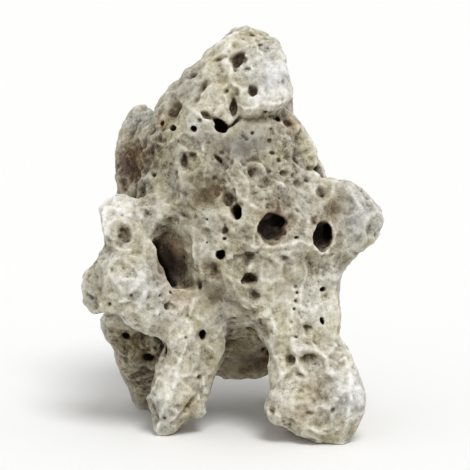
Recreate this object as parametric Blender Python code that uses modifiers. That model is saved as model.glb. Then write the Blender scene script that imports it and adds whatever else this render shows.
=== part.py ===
"""A holey limestone rock for an aquarium: one solid stone, 0.20 m tall, that stands on four feet.

The stone was one bed of soft rock that water and boring shells ate into. It is made the same way:
blunt blocks are fused into a body, the body is roughened, and hollows, bores and pits are cut out.
Units are metres and +Z is up. The origin is on the ground under the stone's middle.
"""

import math
import random

import bmesh
import bpy
from mathutils import Matrix, Vector
from mathutils.bvhtree import BVHTree

MM = 0.001

# The front is laid out as the eye meets it, looking this far down on the stone.
LOOKING_DOWN = math.radians(12.0)
STONE_COLOUR = (0.72, 0.68, 0.60, 1.0)
STONE_ROUGHNESS = 0.92
# How far in front of the stone its lines of sight start, in millimetres.
EYE_DISTANCE = 500

BLOCK_VOXEL = 2.2 * MM
PIT_VOXEL = 1.1 * MM
SKIN_VOXEL = 1.6 * MM
FUSING_PASSES = 8
RIM_PASSES = 2
SMOOTHING = 0.5
TRIANGLES = 9500
GROUND_DEPTH = 60 * MM

# Swellings and honeycomb dishes of the weathered skin: the size of one, its height, and the share of that height
# which is left standing above the skin.
SWELL_SIZE = 30 * MM
SWELL_HEIGHT = 5 * MM
SWELL_MIDDLE = 0.5
DISH_SIZE = 13 * MM
DISH_DEPTH = 4.2 * MM
DISH_MIDDLE = 0.35

# A hollow is cut by an egg that is this much shorter, from its middle to its end, than the hollow is deep.
EGG_SHARE = 1.25
# A scoop is cut by an egg whose middle stands out from the skin by this share of the scoop's depth.
SCOOP_LIFT = 1.2
# How much more a front hollow follows the line of sight than the way straight into the skin.
SIGHT_PULL = 1.2

# Hollows of the sides, the back and the underside, by kind: how many, their smallest and largest width in
# millimetres, and their least and greatest depth as a share of the width.
SCATTERED = {
    "bowls": (13, (15, 25), (0.25, 0.40)),
    "bores": (24, (7.5, 13), (0.7, 1.5)),
    "pits": (60, (4, 7), (0.5, 1.2)),
}
SCATTER_TRIES = 1500
SCATTER_SEED = 11
SCATTER_FROM = 14 * MM
# Least height and greatest height of a scattered hollow, as a share of its width.
SCATTER_HEIGHTS = (0.75, 1.35)
# Least distance between two of them, as a share of their widths together.
SCATTER_SPACING = 0.6
# A face belongs to the front where it is turned to the eye by more than this, from 0 for edge on to 1 for square.
FACING_THE_EYE = 0.35

# Each block is the hull of its corner balls: across, up, away and radius, in millimetres of the front view.
BLOCKS = {
    "head": [
        (4, 202, 2, 5), (19, 197, -6, 5), (21, 190, -15, 4), (23, 173.5, -15, 5.5), (22, 175, -2, 5.5),
        (21, 168.5, -17, 4), (9, 166.5, -18, 4), (-2, 192, -8, 7), (-4, 178, -4, 8), (4, 192, 16, 8), (18, 184, 14, 7),
    ],
    "left_slope": [
        (-10, 189, 0, 8), (-24, 176, 4, 8), (-34, 167, 6, 6), (-36, 155, 8, 6), (-2, 178, -8, 7),
        (-18, 160, -15, 7), (-30, 148, -10, 7), (-26, 162, 28, 8), (-6, 182, 20, 8),
    ],
    "upper_body": [
        (27, 158, -4, 6), (32, 151, -4, 6), (33.5, 141, -6, 6), (44.5, 127.5, -6, 5), (14, 164, 2, 8),
        (0, 163, -9, 8), (-30, 142, -10, 8), (14, 108, -22, 8), (-14, 108, -20, 8), (-42, 128, 2, 8),
        (20, 150, 34, 10), (-25, 150, 36, 10), (30, 125, 40, 10),
    ],
    "middle": [
        (0, 150, -13, 8), (45, 124, -6, 7), (48, 108, -10, 7), (46, 92, -8, 7), (-40, 122, -4, 8),
        (-40, 100, 6, 8), (6, 118, -22, 9), (24, 92, -20, 8), (-12, 88, -17, 9), (4, 72, -14, 8),
        (35, 110, 46, 10), (-35, 112, 46, 10), (30, 78, 46, 10), (-30, 78, 44, 10),
    ],
    "lower_body": [
        (-18, 92, -12, 9), (20, 92, -18, 8), (-12, 66, -8, 8), (14, 64, -10, 8), (0, 64, -6, 8),
        (-12, 72, 24, 10), (14, 72, 24, 10),
    ],
    "right_knob": [
        (58, 124, -6, 6), (70, 110, -8, 6), (66, 102, -8, 6), (57, 99, -8, 6), (51, 90, -6, 6),
        (46, 114, -10, 6), (48, 97, -10, 6), (59, 110, 10, 7), (44, 108, 8, 10),
    ],
    "right_thigh": [
        (46, 84, -6, 6), (43.5, 76, -6, 7), (42.5, 62, -6, 7), (46, 50, -10, 6.5), (24, 46, -14, 8),
        (12, 74, -18, 8), (10, 60, 14, 9), (38, 60, 26, 9), (38, 88, 30, 9),
    ],
    "right_foot": [
        (51, 43, -14, 6), (53, 38, -18, 5), (57.5, 32, -18, 5.5), (58.5, 18, -22, 5.5), (57.5, 9, -18, 5.5),
        (51, 0, -17, 5), (43, 3, -20, 5), (33, 5, -21, 5), (28, 12, -23, 5), (26, 26, -21, 5),
        (25, 38, -19, 6), (33, 43, -22, 6), (48, 30, 10, 8), (28, 30, 8, 8), (47, 4, 2, 6), (30, 7, 2, 6),
    ],
    "right_toe": [
        (18, 14, -21, 4.5), (21, 10, -20, 4.5), (30, 20, -20, 6), (32, 8, -19, 5), (24, 13, -6, 5), (34, 16, -6, 6),
    ],
    "left_knob": [
        (-63, 108, -18, 6), (-62, 115, -16, 6), (-55, 115, -16, 6), (-46, 112, -14, 7), (-60, 99, -18, 6),
        (-48, 99, -16, 6), (-55, 108, 0, 8),
    ],
    "knob_root": [(-52, 108, -12, 9), (-36, 113, -10, 9), (-36, 108, 2, 9), (-52, 104, -2, 8), (-34, 100, 8, 8)],
    "left_flap": [
        (-62, 94, -18, 5), (-46, 96, -20, 5), (-41, 88, -20, 3.5), (-37, 80, -20, 3.5), (-34, 72, -19, 3.5),
        (-70, 78, -12, 6.5), (-70, 70, -10, 6.5), (-62, 65, -16, 6), (-45, 62, -22, 6), (-55, 80, -27, 6),
        (-60, 78, 0, 6), (-45, 75, -8, 5),
    ],
    "cave_wall": [
        (-56, 96, -6, 6), (-57, 78, 2, 6), (-44, 99, 6, 7), (-44, 78, 10, 7), (-46, 62, 4, 7), (-52, 88, 8, 6),
    ],
    "flap_root": [(-36, 62, -16, 7), (-20, 68, -14, 8), (-28, 52, -12, 6), (-46, 60, -10, 6), (-26, 60, 8, 8)],
    "left_thigh": [
        (-12, 72, -12, 9), (-34, 62, -12, 7), (-14, 46, -9, 7), (-28, 44, -12, 6), (-12, 50, 18, 8),
        (-32, 56, 22, 8),
    ],
    "left_shin": [
        (-13, 46, -8, 6), (-14, 34, -6, 5), (-19, 20, -4, 5), (-26, 46, -14, 4), (-30, 29, -14, 3.5),
        (-33, 20, -13, 3.5), (-31, 44, -6, 5), (-39, 26, -5, 4.5), (-39.5, 14, -3, 4.5), (-38, 0, -2, 4),
        (-28, 11, -8, 4), (-28, 30, 12, 6), (-14, 36, 10, 6), (-34, 4, 9, 5),
    ],
    "left_toe": [
        (-18.5, 19, -4, 4), (-19, 12, -3, 4), (-29, 10, -3, 4), (-24, 26, 0, 5), (-26, 11, 7, 4),
    ],
    "left_hind_leg": [
        (-61, 57, 8, 7), (-55, 42, 16, 7), (-53, 33, 26, 7), (-49, 25, 38, 7), (-36, 45, 12, 8),
        (-34, 62, 10, 8), (-34, 32, 30, 8), (-47, 15, 52, 6.5), (-54, 34, 56, 6), (-36, 16, 62, 6.5),
        (-38, 44, 66, 7), (-50, 62, 46, 8), (-24, 60, 54, 8), (-26, 34, 54, 6),
    ],
    "belly_slope": [
        (-12, 57, 4, 8), (13, 57, 2, 8), (-10, 45, 17, 8), (12, 46, 17, 8), (0, 66, 10, 9), (0, 41, 25, 7),
    ],
    "belly": [
        (8, 30, 30, 7), (0, 33, 30, 7), (-7, 36, 30, 7), (-14, 36, 28, 7), (16, 40, 26, 8),
        (-15, 62, 18, 10), (15, 62, 18, 10), (0, 46, 48, 9), (8, 66, 50, 10),
    ],
    "right_hind_leg": [
        (30, 84, 46, 9), (46, 76, 42, 7), (47, 56, 44, 7), (44, 32, 48, 7), (26, 34, 46, 7),
        (39, 13, 56, 6.5), (30, 16, 64, 6), (43, 18, 64, 6), (14, 56, 58, 8), (38, 50, 70, 6), (22, 40, 66, 6),
    ],
    "neck_back": [
        (-4, 188, 20, 7), (15, 186, 22, 7), (21, 176, 26, 8), (-16, 174, 36, 8), (24, 152, 42, 8),
        (-18, 152, 48, 8), (2, 168, 42, 9),
    ],
    "back_spine": [
        (4, 160, 48, 8), (16, 142, 58, 8), (10, 112, 70, 9), (-6, 90, 66, 9), (22, 88, 58, 9),
        (28, 122, 48, 9), (-8, 132, 58, 9),
    ],
    "back_left_lobe": [
        (-33, 152, 42, 8), (-44, 130, 48, 8), (-46, 104, 50, 9), (-32, 82, 60, 9), (-24, 108, 64, 9),
        (-20, 138, 52, 8), (-34, 66, 50, 9),
    ],
    "back_right_lobe": [
        (40, 118, 34, 8), (48, 98, 40, 8), (45, 70, 50, 8), (30, 66, 62, 8), (27, 98, 58, 8), (10, 66, 54, 9),
    ],
    "back": [
        (30, 138, 30, 10), (-8, 170, 28, 10), (-34, 152, 30, 9), (34, 100, 44, 10), (-38, 108, 42, 10),
        (0, 122, 50, 12), (2, 82, 50, 12), (-33, 76, 44, 9), (18, 160, 26, 8),
    ],
    "rear_saddle": [
        (-37, 151, 1, 7), (-39, 134, 2, 8), (-48, 150, 17, 7), (-50, 134, 15, 7), (-46, 120, 9, 7), (-36, 140, 20, 8),
        (-44, 158, 20, 5),
    ],
    "left_rear_shoulder": [
        (-55, 149, 28, 7), (-55, 130, 24, 7), (-54, 118, 14, 7), (-50, 161, 28, 6), (-38, 152, 30, 8),
        (-40, 118, 20, 9), (-44, 140, 46, 7), (-46, 165, 26, 4),
    ],
}


# Each hollow of the front: where its mouth is seen, its width, height and depth, and its roll in degrees.
HOLLOWS = {
    # The three large bores in a row, and the cave beside the left flap, whose edge hides a deep crevice.
    "left_bore": (1, 113.5, 8.5, 11, 22, -20),
    "left_bore_lip": (-2, 119, 9, 8, 6, -40),
    "middle_bore": (19, 106, 14, 13, 26, 0),
    "right_bore": (44.5, 100, 11, 13.5, 24, 10),
    "cave_crevice": (-36.5, 84.5, 5, 25, 16, -20),
    # The head.
    "head_trough": (2, 191, 9, 6, 7, -25),
    "head_trough_foot": (0, 185, 4, 8, 4, 0),
    "head_slot": (7.5, 185, 6, 3, 2.5, 5),
    "head_pit": (9, 174.5, 5, 7, 6, -15),
    "head_dimple": (15, 173.5, 4, 4, 2, 0),
    "crown_crater": (8.5, 202.5, 6, 5, 2.5, 0),
    "crown_dimple": (1, 198, 4, 5, 2, 0),
    "neck_notch": (-1, 165, 4.5, 10, 4, 10),
    "neck_bore": (-7, 156, 6, 10, 16, -28),
    "neck_crevice": (1.5, 159, 3.5, 6, 5, -40),
    "collar_dish": (2, 178, 6, 5, 3, 0),
    "collar_groove": (6, 160.5, 14, 4, 3, 0),
    "chin_undercut": (25, 163, 9, 4, 5, 0),
    # The left slope.
    "slope_dish": (-15, 178, 8, 9, 3.5, 30),
    "slope_edge": (-21, 182, 7, 6, 3.5, 0),
    "slope_brown": (-30, 165, 13, 9, 5, 30),
    "slope_bore": (-31, 155, 5, 4, 10, 0),
    "slope_bore_left": (-36, 157, 4, 4, 7, 0),
    "slope_round": (-20, 154.5, 4, 4.5, 10, 0),
    "slope_upper": (-14, 161, 7, 5, 5, 15),
    "slit_left": (-25.5, 138, 3.5, 7, 8, 0),
    "slit_dish": (-21, 141, 6, 6, 3.5, 0),
    "slit_far_left": (-41, 131.5, 5, 3.5, 5, 0),
    "slit_middle": (-30, 132, 4, 3.5, 5, 0),
    "slit_upper": (-8.5, 140, 6, 3, 6, 30),
    # The right shoulder.
    "shoulder_bore": (21.5, 160, 4, 4, 9, 0),
    "shoulder_dish": (27, 158, 8, 8, 3.5, 0),
    "shoulder_hollow": (9, 132.5, 9, 8, 3.5, 0),
    "shoulder_pit_a": (23.5, 132, 4, 3.5, 5, 0),
    "shoulder_pit_b": (30.5, 139, 4, 3.5, 4, 0),
    "shoulder_pit_c": (39.5, 135.5, 4.5, 4, 6, 0),
    "shoulder_pit_d": (44, 122, 6, 7, 4, 0),
    "shoulder_dish_low": (37, 130, 8, 6, 3, 0),
    # The middle, between and under the bores.
    "web_pit": (-5, 103.5, 6, 6, 3.5, 0),
    "round_bore": (-6.5, 91.5, 5.5, 6, 14, 0),
    "brown_pit": (7, 79, 9, 7, 9, 0),
    "brown_dish": (8.5, 71, 9, 9, 3.5, 0),
    "grey_dish": (5.5, 89.5, 10, 9, 3.5, 0),
    "web_dish": (-13, 83, 13, 13, 4, 0),
    "web_slot": (-18, 76, 5, 8, 4, 0),
    "right_dish": (25, 89.5, 7, 6, 3, 20),
    "right_wide_dish": (28, 80, 13, 12, 3.5, 0),
    "side_pit": (45, 74, 4.5, 4, 8, 0),
    "side_slit": (44, 58, 3.5, 6, 8, -20),
    "side_dish": (36.5, 54.5, 5, 6, 3, 0),
    # The right foot.
    "instep_arch": (37, 39.5, 12, 6, 6, 0),
    "instep_dish": (27, 39.5, 9, 9, 5, -20),
    "foot_slit": (36, 12.5, 8, 3, 3, 0),
    "foot_toe_dish": (18, 13, 8, 6, 3, 10),
    "arch_rust": (15, 42, 4, 7, 5, 0),
    # The left side.
    "knob_dish": (-55.5, 102, 9, 9, 4.5, 0),
    "flap_pit": (-51.5, 70.5, 3.5, 3.5, 4, 0),
    "flap_notch": (-34.5, 65.5, 4, 5, 4, 0),
    "shin_bore": (-17, 51.5, 4.5, 6.5, 12, 0),
    "shin_pit": (-18, 29, 3.5, 3.5, 4, 0),
    "toe_groove": (-22, 15.5, 3.5, 17, 3, 48),
    "dark_pit_high": (-56, 49.5, 6, 5, 10, 0),
    "dark_pit_low": (-44.5, 38, 7.5, 6, 11, 0),
    "dark_crevice": (-37, 44.5, 4, 9, 8, 20),
}

# Each scoop of the front, given like a hollow: a soft hollow that slopes in from its rim.
SCOOPS = {
    "cave": (-30.5, 90, 16, 34, 5, -14),
    "under_the_fist": (17, 160, 22, 7, 2, 0),
    "middle_left": (-16, 122, 26, 18, 3.5, 0),
    "knob_valley": (51, 116, 9, 18, 3.5, 15),
    "foot_face": (38, 24, 24, 24, 4, 0),
}


def seen(across, up, away):
    """The place of a point given in millimetres of the front view."""
    turn = Matrix.Rotation(-LOOKING_DOWN, 3, "X")
    return turn @ Vector((across, away, up)) * MM


def clear_scene():
    for thing in list(bpy.data.objects):
        bpy.data.objects.remove(thing)


def new_collection(name):
    made = bpy.data.collections.new(name)
    bpy.context.scene.collection.children.link(made)
    return made


def hull_of_balls(corners):
    """A mesh of the hull round a block's corner balls."""
    hull = bmesh.new()
    for across, up, away, radius in corners:
        place = Matrix.Translation(seen(across, up, away))
        bmesh.ops.create_icosphere(hull, subdivisions=2, radius=radius * MM, matrix=place)
    bmesh.ops.delete(hull, geom=hull.edges[:] + hull.faces[:], context="EDGES_FACES")
    made = bmesh.ops.convex_hull(hull, input=hull.verts)
    within = [item for item in made["geom_interior"] if isinstance(item, bmesh.types.BMVert)]
    bmesh.ops.delete(hull, geom=within, context="VERTS")
    block = bpy.data.meshes.new("block")
    hull.to_mesh(block)
    hull.free()
    return block


def blocks_mesh():
    """All the blocks in one mesh, still as separate hulls that pass through each other."""
    joined = bmesh.new()
    for corners in BLOCKS.values():
        block = hull_of_balls(corners)
        joined.from_mesh(block)
        bpy.data.meshes.remove(block)
    made = bpy.data.meshes.new("rock")
    joined.to_mesh(made)
    joined.free()
    return made


def shaped(rock):
    """The rock's mesh as its modifiers leave it so far."""
    return rock.evaluated_get(bpy.context.evaluated_depsgraph_get()).data


def on_front(surface, across, up):
    """Where the line of sight through a point of the front view meets the surface, and the surface's normal."""
    eye = seen(across, up, -EYE_DISTANCE)
    sight = (seen(across, up, 0) - eye).normalized()
    place, normal, _, _ = surface.ray_cast(eye, sight)
    return place, normal, sight


def add_egg(mesh, centre, inwards, sizes, roll):
    """Adds an egg-shaped cutter of these half sizes across, inwards and up, all in metres."""
    facing = inwards.to_track_quat("Y", "Z").to_matrix().to_4x4()
    turn = facing @ Matrix.Rotation(math.radians(roll), 4, "Y")
    whole = Matrix.Translation(centre) @ turn @ Matrix.Diagonal((*sizes, 1.0))
    bmesh.ops.create_icosphere(mesh, subdivisions=3, radius=1.0, matrix=whole)


def add_pit(mesh, place, inwards, width, height, depth, roll):
    """Adds the cutter of a hollow whose mouth is at place and whose bottom is depth further in."""
    long_half = depth / EGG_SHARE
    centre = place + inwards * (depth - long_half) * MM
    add_egg(mesh, centre, inwards, (width / 2 * MM, long_half * MM, height / 2 * MM), roll)


def add_scoop(mesh, place, inwards, width, height, depth, roll):
    """Adds the cutter of a scoop, widened so that its cut at the skin has the given width and height."""
    long_half = (1 + SCOOP_LIFT) * depth
    widening = 1 / math.sqrt(1 - (SCOOP_LIFT / (1 + SCOOP_LIFT)) ** 2)
    centre = place - inwards * SCOOP_LIFT * depth * MM
    add_egg(mesh, centre, inwards, (widening * width / 2 * MM, long_half * MM, widening * height / 2 * MM), roll)


def hollows_of_the_front(mesh, surface):
    """Adds the cutters of every hollow and scoop that the front view lays out."""
    for hollows, add in ((HOLLOWS, add_pit), (SCOOPS, add_scoop)):
        for across, up, width, height, depth, roll in hollows.values():
            place, normal, sight = on_front(surface, across, up)
            inwards = (sight * SIGHT_PULL - normal).normalized()
            add(mesh, place, inwards, width, height, depth, roll)


def scattered_hollows(mesh, skin):
    """Hollows of the kinds in SCATTERED wherever the front view doesn't look, kept apart from each other."""
    draw = random.Random(SCATTER_SEED)
    sight = (seen(0, 0, 1) - seen(0, 0, 0)).normalized()
    faces = [
        face for face in skin.polygons
        if -face.normal.dot(sight) < FACING_THE_EYE and face.center.z > SCATTER_FROM
    ]
    taken = []
    for count, widths, depths in SCATTERED.values():
        left = count
        for _ in range(SCATTER_TRIES):
            face = draw.choice(faces)
            width = draw.uniform(*widths)
            apart = [(face.center - other).length / (width + wide) / MM for other, wide in taken]
            if left == 0 or min(apart, default=1.0) < SCATTER_SPACING:
                continue
            left -= 1
            taken.append((face.center.copy(), width))
            height = width * draw.uniform(*SCATTER_HEIGHTS)
            depth = width * draw.uniform(*depths)
            add_pit(mesh, face.center, -face.normal, width, height, depth, draw.uniform(0, 180))


def as_cutter(name, mesh):
    cutter = bpy.data.objects.new(name, mesh)
    cutter.hide_render = True
    cutter.display_type = "WIRE"
    return cutter


def pits_cutter(rock):
    """Every hollow and pit as one cutter, found on the fused body."""
    skin = shaped(rock)
    surface = BVHTree.FromPolygons([vertex.co for vertex in skin.vertices], [face.vertices for face in skin.polygons])
    mesh = bmesh.new()
    hollows_of_the_front(mesh, surface)
    scattered_hollows(mesh, skin)
    made = bpy.data.meshes.new("pits")
    mesh.to_mesh(made)
    mesh.free()
    pits = as_cutter("pits", made)
    add_remesh(pits, "join", PIT_VOXEL)
    return pits


def add_remesh(rock, name, voxel):
    fuse = rock.modifiers.new(name, "REMESH")
    fuse.mode = "VOXEL"
    fuse.voxel_size = voxel


def add_smooth(rock, name, passes):
    soften = rock.modifiers.new(name, "SMOOTH")
    soften.factor = SMOOTHING
    soften.iterations = passes


def add_relief(rock, name, kind, size, height, middle):
    """Raises and lowers the skin by a solid texture, so that it has no seam."""
    texture = bpy.data.textures.new(name, kind)
    texture.noise_scale = size
    relief = rock.modifiers.new(name, "DISPLACE")
    relief.texture = texture
    relief.texture_coords = "LOCAL"
    relief.strength = height
    relief.mid_level = middle


def add_cut(rock, name, cutter):
    """Takes a cutter's shape out of the rock."""
    cut = rock.modifiers.new(name, "BOOLEAN")
    cut.operation = "DIFFERENCE"
    cut.solver = "EXACT"
    cut.object = cutter


def add_facets(rock, triangles):
    """Thins the skin to about this many triangles, fewest where it is flat."""
    skin = shaped(rock)
    skin.calc_loop_triangles()
    thin = rock.modifiers.new("facets", "DECIMATE")
    thin.ratio = triangles / len(skin.loop_triangles)


def ground_cutter():
    """A slab below the ground, to cut the feet flat where the stone stands."""
    mesh = bmesh.new()
    lower = Matrix.Translation((0, 0, -GROUND_DEPTH / 2))
    bmesh.ops.create_cube(mesh, size=1.0, matrix=lower @ Matrix.Diagonal((1.0, 1.0, GROUND_DEPTH, 1.0)))
    made = bpy.data.meshes.new("ground")
    mesh.to_mesh(made)
    mesh.free()
    return as_cutter("ground", made)


def stand_in_the_middle(rock, others):
    """Moves the rock, with what cuts it, until the origin is on the ground under the middle of its box."""
    corners = [vertex.co for vertex in shaped(rock).vertices]
    middle = Vector((
        (min(corner.x for corner in corners) + max(corner.x for corner in corners)) / 2,
        (min(corner.y for corner in corners) + max(corner.y for corner in corners)) / 2,
        0.0,
    ))
    for piece in [rock] + others:
        piece.location = -middle


def limestone():
    made = bpy.data.materials.new("limestone")
    made.use_nodes = True
    shader = made.node_tree.nodes["Principled BSDF"]
    shader.inputs["Base Color"].default_value = STONE_COLOUR
    shader.inputs["Roughness"].default_value = STONE_ROUGHNESS
    return made


def main():
    clear_scene()
    stone = new_collection("limestone rock")
    cutters = new_collection("cutters")

    rock = bpy.data.objects.new("rock", blocks_mesh())
    rock.data.materials.append(limestone())
    stone.objects.link(rock)
    add_remesh(rock, "fuse", BLOCK_VOXEL)
    add_smooth(rock, "soften", FUSING_PASSES)
    add_relief(rock, "swell", "CLOUDS", SWELL_SIZE, SWELL_HEIGHT, SWELL_MIDDLE)

    pits = pits_cutter(rock)
    ground = ground_cutter()
    cutters.objects.link(pits)
    cutters.objects.link(ground)
    add_cut(rock, "pits", pits)
    add_remesh(rock, "even_skin", SKIN_VOXEL)
    add_smooth(rock, "wear_rims", RIM_PASSES)
    add_relief(rock, "dishes", "VORONOI", DISH_SIZE, DISH_DEPTH, DISH_MIDDLE)
    add_facets(rock, TRIANGLES)
    add_cut(rock, "flat_feet", ground)
    stand_in_the_middle(rock, [pits, ground])


if __name__ == "__main__":
    main()
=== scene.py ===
"""Dresses a holey limestone rock for an aquarium, and sets up its floor, light and camera.

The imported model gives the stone's main form. Its skin is made here: the form is sampled as distances to its surface
on a fine cubic grid, weathering is carved into those distances as whole arrays, and the new surface is read back
as one closed mesh. Lengths are in millimetres until a mesh or a material is made, and in metres from there on.
"""

from __future__ import annotations

import itertools
import logging
import math
from dataclasses import dataclass, field
from enum import Enum, IntEnum
from typing import Callable, Iterator

import bpy
import numpy as np
import openvdb
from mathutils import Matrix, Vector
from mathutils.bvhtree import BVHTree

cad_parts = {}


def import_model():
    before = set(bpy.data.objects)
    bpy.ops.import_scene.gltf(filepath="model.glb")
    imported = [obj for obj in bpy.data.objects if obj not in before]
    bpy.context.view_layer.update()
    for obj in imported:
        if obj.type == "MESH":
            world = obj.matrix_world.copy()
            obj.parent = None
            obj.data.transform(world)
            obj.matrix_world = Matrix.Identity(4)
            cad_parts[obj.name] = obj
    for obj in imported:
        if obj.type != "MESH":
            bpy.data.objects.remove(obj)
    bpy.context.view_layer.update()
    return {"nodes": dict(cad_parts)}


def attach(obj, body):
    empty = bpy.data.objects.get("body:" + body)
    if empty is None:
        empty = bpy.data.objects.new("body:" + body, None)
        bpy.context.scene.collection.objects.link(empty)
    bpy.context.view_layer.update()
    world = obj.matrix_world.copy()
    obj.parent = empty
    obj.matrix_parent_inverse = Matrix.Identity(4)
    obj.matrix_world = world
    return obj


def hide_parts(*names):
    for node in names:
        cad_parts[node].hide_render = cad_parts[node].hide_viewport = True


log = logging.getLogger("limestone rock")

MM = 0.001

# The front of the stone is laid out as the photograph's camera sees it, looking this far down.
LOOKING_DOWN = math.radians(12.0)
# Where the front view's zero point lies in the frame, in millimetres: on the ground, between the two front feet.
FRONT_ZERO = (1.17, -38.45)
# The photograph's pixel at that zero point. One pixel is one millimetre there.
ZERO_PIXEL = (228.0, 377.4)
# How far the noise fields bend a crest, in millimetres.
CREST_BEND = 0.9


def seen(across: float, up: float, away: float) -> np.ndarray:
    """The frame's place of a point of the front view.

    Args:
        across: millimetres to the right of the zero point, as seen.
        up: millimetres above it, as seen.
        away: millimetres behind it along the line of sight.

    Returns:
        The place in the frame, in millimetres.
    """
    rise = math.sin(LOOKING_DOWN)
    run = math.cos(LOOKING_DOWN)
    return np.array([across + FRONT_ZERO[0], away * run + up * rise + FRONT_ZERO[1], up * run - away * rise])


# The direction of the photograph's sight lines.
SIGHT = seen(0, 0, 1) - seen(0, 0, 0)


def at_pixel(column: float, row: float) -> tuple[float, float]:
    """The front view's across and up of a pixel of the photograph, in millimetres."""
    return column - ZERO_PIXEL[0], ZERO_PIXEL[1] - row


def eased(low: float, high: float, value: np.ndarray) -> np.ndarray:
    """Zero below low, one above high, and a smooth S between them."""
    share = np.clip((value - low) / (high - low), 0.0, 1.0)
    return share * share * (3.0 - 2.0 * share)


def blended_max(first: np.ndarray, second: np.ndarray, width: float) -> np.ndarray:
    """The greater of two fields, with their crease rounded over this width."""
    near = np.maximum(width - np.abs(first - second), 0.0) / width
    return np.maximum(first, second) + near * near * width / 4.0


class Seed(IntEnum):
    """Where each random field or draw starts, so that the stone is the same every time.

    The fields that warp the cells and those that bend the hollows take three seeds in a row each.
    """

    SWELL = 5
    GRIT = 7
    LARGE_CELLS = 11
    FINE_CELLS = 13
    EATEN = 17
    PITS = 23
    WARP = 31
    CROWDING = 41
    RAGGED = 53
    PORES = 61
    CLOUDS = 71
    BEND = 81
    CALM = 91


@dataclass(frozen=True)
class Noise:
    """Random fields that are smooth in space, from tables of random numbers repeated far apart.

    The tables' first corner is shifted off the frame's origin, by this many cubes. Where a field sums several sizes
    of waves, their seeds lie octave_gap apart.
    """

    seed: int
    side: int = 64
    shift: float = 17.3
    octave_gap: int = 101

    def smooth(self, points: np.ndarray, size: float) -> np.ndarray:
        """Values from -1 to 1: random numbers at the corners of cubes, blended inside each by a quintic ease.

        Args:
            points: places in millimetres, one to a row.
            size: the cubes' side in millimetres.

        Returns:
            One value to a point.
        """
        table = np.random.default_rng(self.seed).uniform(-1.0, 1.0, self.side**3).astype(np.float32)
        scaled = points / np.float32(size) + np.float32(self.shift)
        corner = np.floor(scaled).astype(np.int32)
        part = (scaled - corner).astype(np.float32)
        ease = part * part * part * (part * (part * 6.0 - 15.0) + 10.0)
        total = np.zeros(len(points), np.float32)
        for step in itertools.product((0, 1), repeat=3):
            place = (corner + np.array(step, np.int32)) % self.side
            share = np.prod(np.where(np.array(step) == 1, ease, 1.0 - ease), axis=1)
            total += share * table[(place[:, 0] * self.side + place[:, 1]) * self.side + place[:, 2]]
        return total

    def rough(self, points: np.ndarray, size: float, octaves: int, fade: float = 0.5) -> np.ndarray:
        """Sums smooth noise over halving sizes, each weaker by fade than the last, scaled to about -1 to 1."""
        total = np.zeros(len(points), np.float32)
        strength = 1.0
        whole = 0.0
        for octave in range(octaves):
            layer = Noise(self.seed + self.octave_gap * octave, self.side)
            total += np.float32(strength) * layer.smooth(points, size / 2**octave)
            whole += strength
            strength *= fade
        return total / np.float32(whole)

    def cells(self, points: np.ndarray, size: float) -> tuple[np.ndarray, np.ndarray]:
        """Parts space into rounded cells round random seeds, one seed to a cube.

        Args:
            points: places in millimetres, one to a row.
            size: the cubes' side in millimetres.

        Returns:
            How much further the second nearest seed is than the nearest, in millimetres, which is zero on the wall
            between two cells; and a random number from 0 to 1 that is the cell's own.
        """
        draw = np.random.default_rng(self.seed)
        jitter = draw.uniform(0.0, 1.0, (self.side**3, 3)).astype(np.float32)
        own = draw.uniform(0.0, 1.0, self.side**3).astype(np.float32)
        scaled = (points / np.float32(size) + np.float32(self.shift)).astype(np.float32)
        base = np.floor(scaled).astype(np.int32)
        further_than_any = 9.0
        nearest = np.full(len(points), further_than_any, np.float32)
        second = np.full(len(points), further_than_any, np.float32)
        number = np.zeros(len(points), np.float32)
        for step in itertools.product((-1, 0, 1), repeat=3):
            cube = base + np.array(step, np.int32)
            wrapped = cube % self.side
            row = (wrapped[:, 0] * self.side + wrapped[:, 1]) * self.side + wrapped[:, 2]
            gap = np.sqrt(np.sum((cube + jitter[row] - scaled) ** 2, axis=1))
            closer = gap < nearest
            second = np.where(closer, nearest, np.minimum(second, gap))
            number = np.where(closer, own[row], number)
            nearest = np.where(closer, gap, nearest)
        return (second - nearest) * np.float32(size), number


class Mouth(Enum):
    """How a hollow's wall runs inwards: its depth's power in the wall's formula, and the softness of its rim.

    A dish has no wall: the skin is only pressed in, without a rim. A floor takes nothing out: it fills what is open
    at its place beyond its depth.
    """

    BORE = (6.0, 0.5)
    PIT = (2.6, 1.0)
    DISH = (0.0, 0.0)
    FLOOR = (0.0, 1.5)

    @property
    def power(self) -> float:
        """High for straight walls with a blunt end, two for an egg."""
        return self.value[0]

    @property
    def rim(self) -> float:
        """The width in millimetres over which the rim is rounded."""
        return self.value[1]


@dataclass(frozen=True)
class Hollow:
    """A hollow of the front: its mouth's pixel, its size in millimetres and its roll in degrees.

    Its way in is turned up by rise and to the right by lean, each as the share of the way that it adds. Where its
    sight lines would mislead, away gives its mouth's place behind the zero point.
    """

    column: float
    row: float
    width: float
    height: float
    depth: float
    roll: float = 0.0
    mouth: Mouth = Mouth.PIT
    rise: float = 0.0
    lean: float = 0.0
    away: float | None = None


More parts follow.
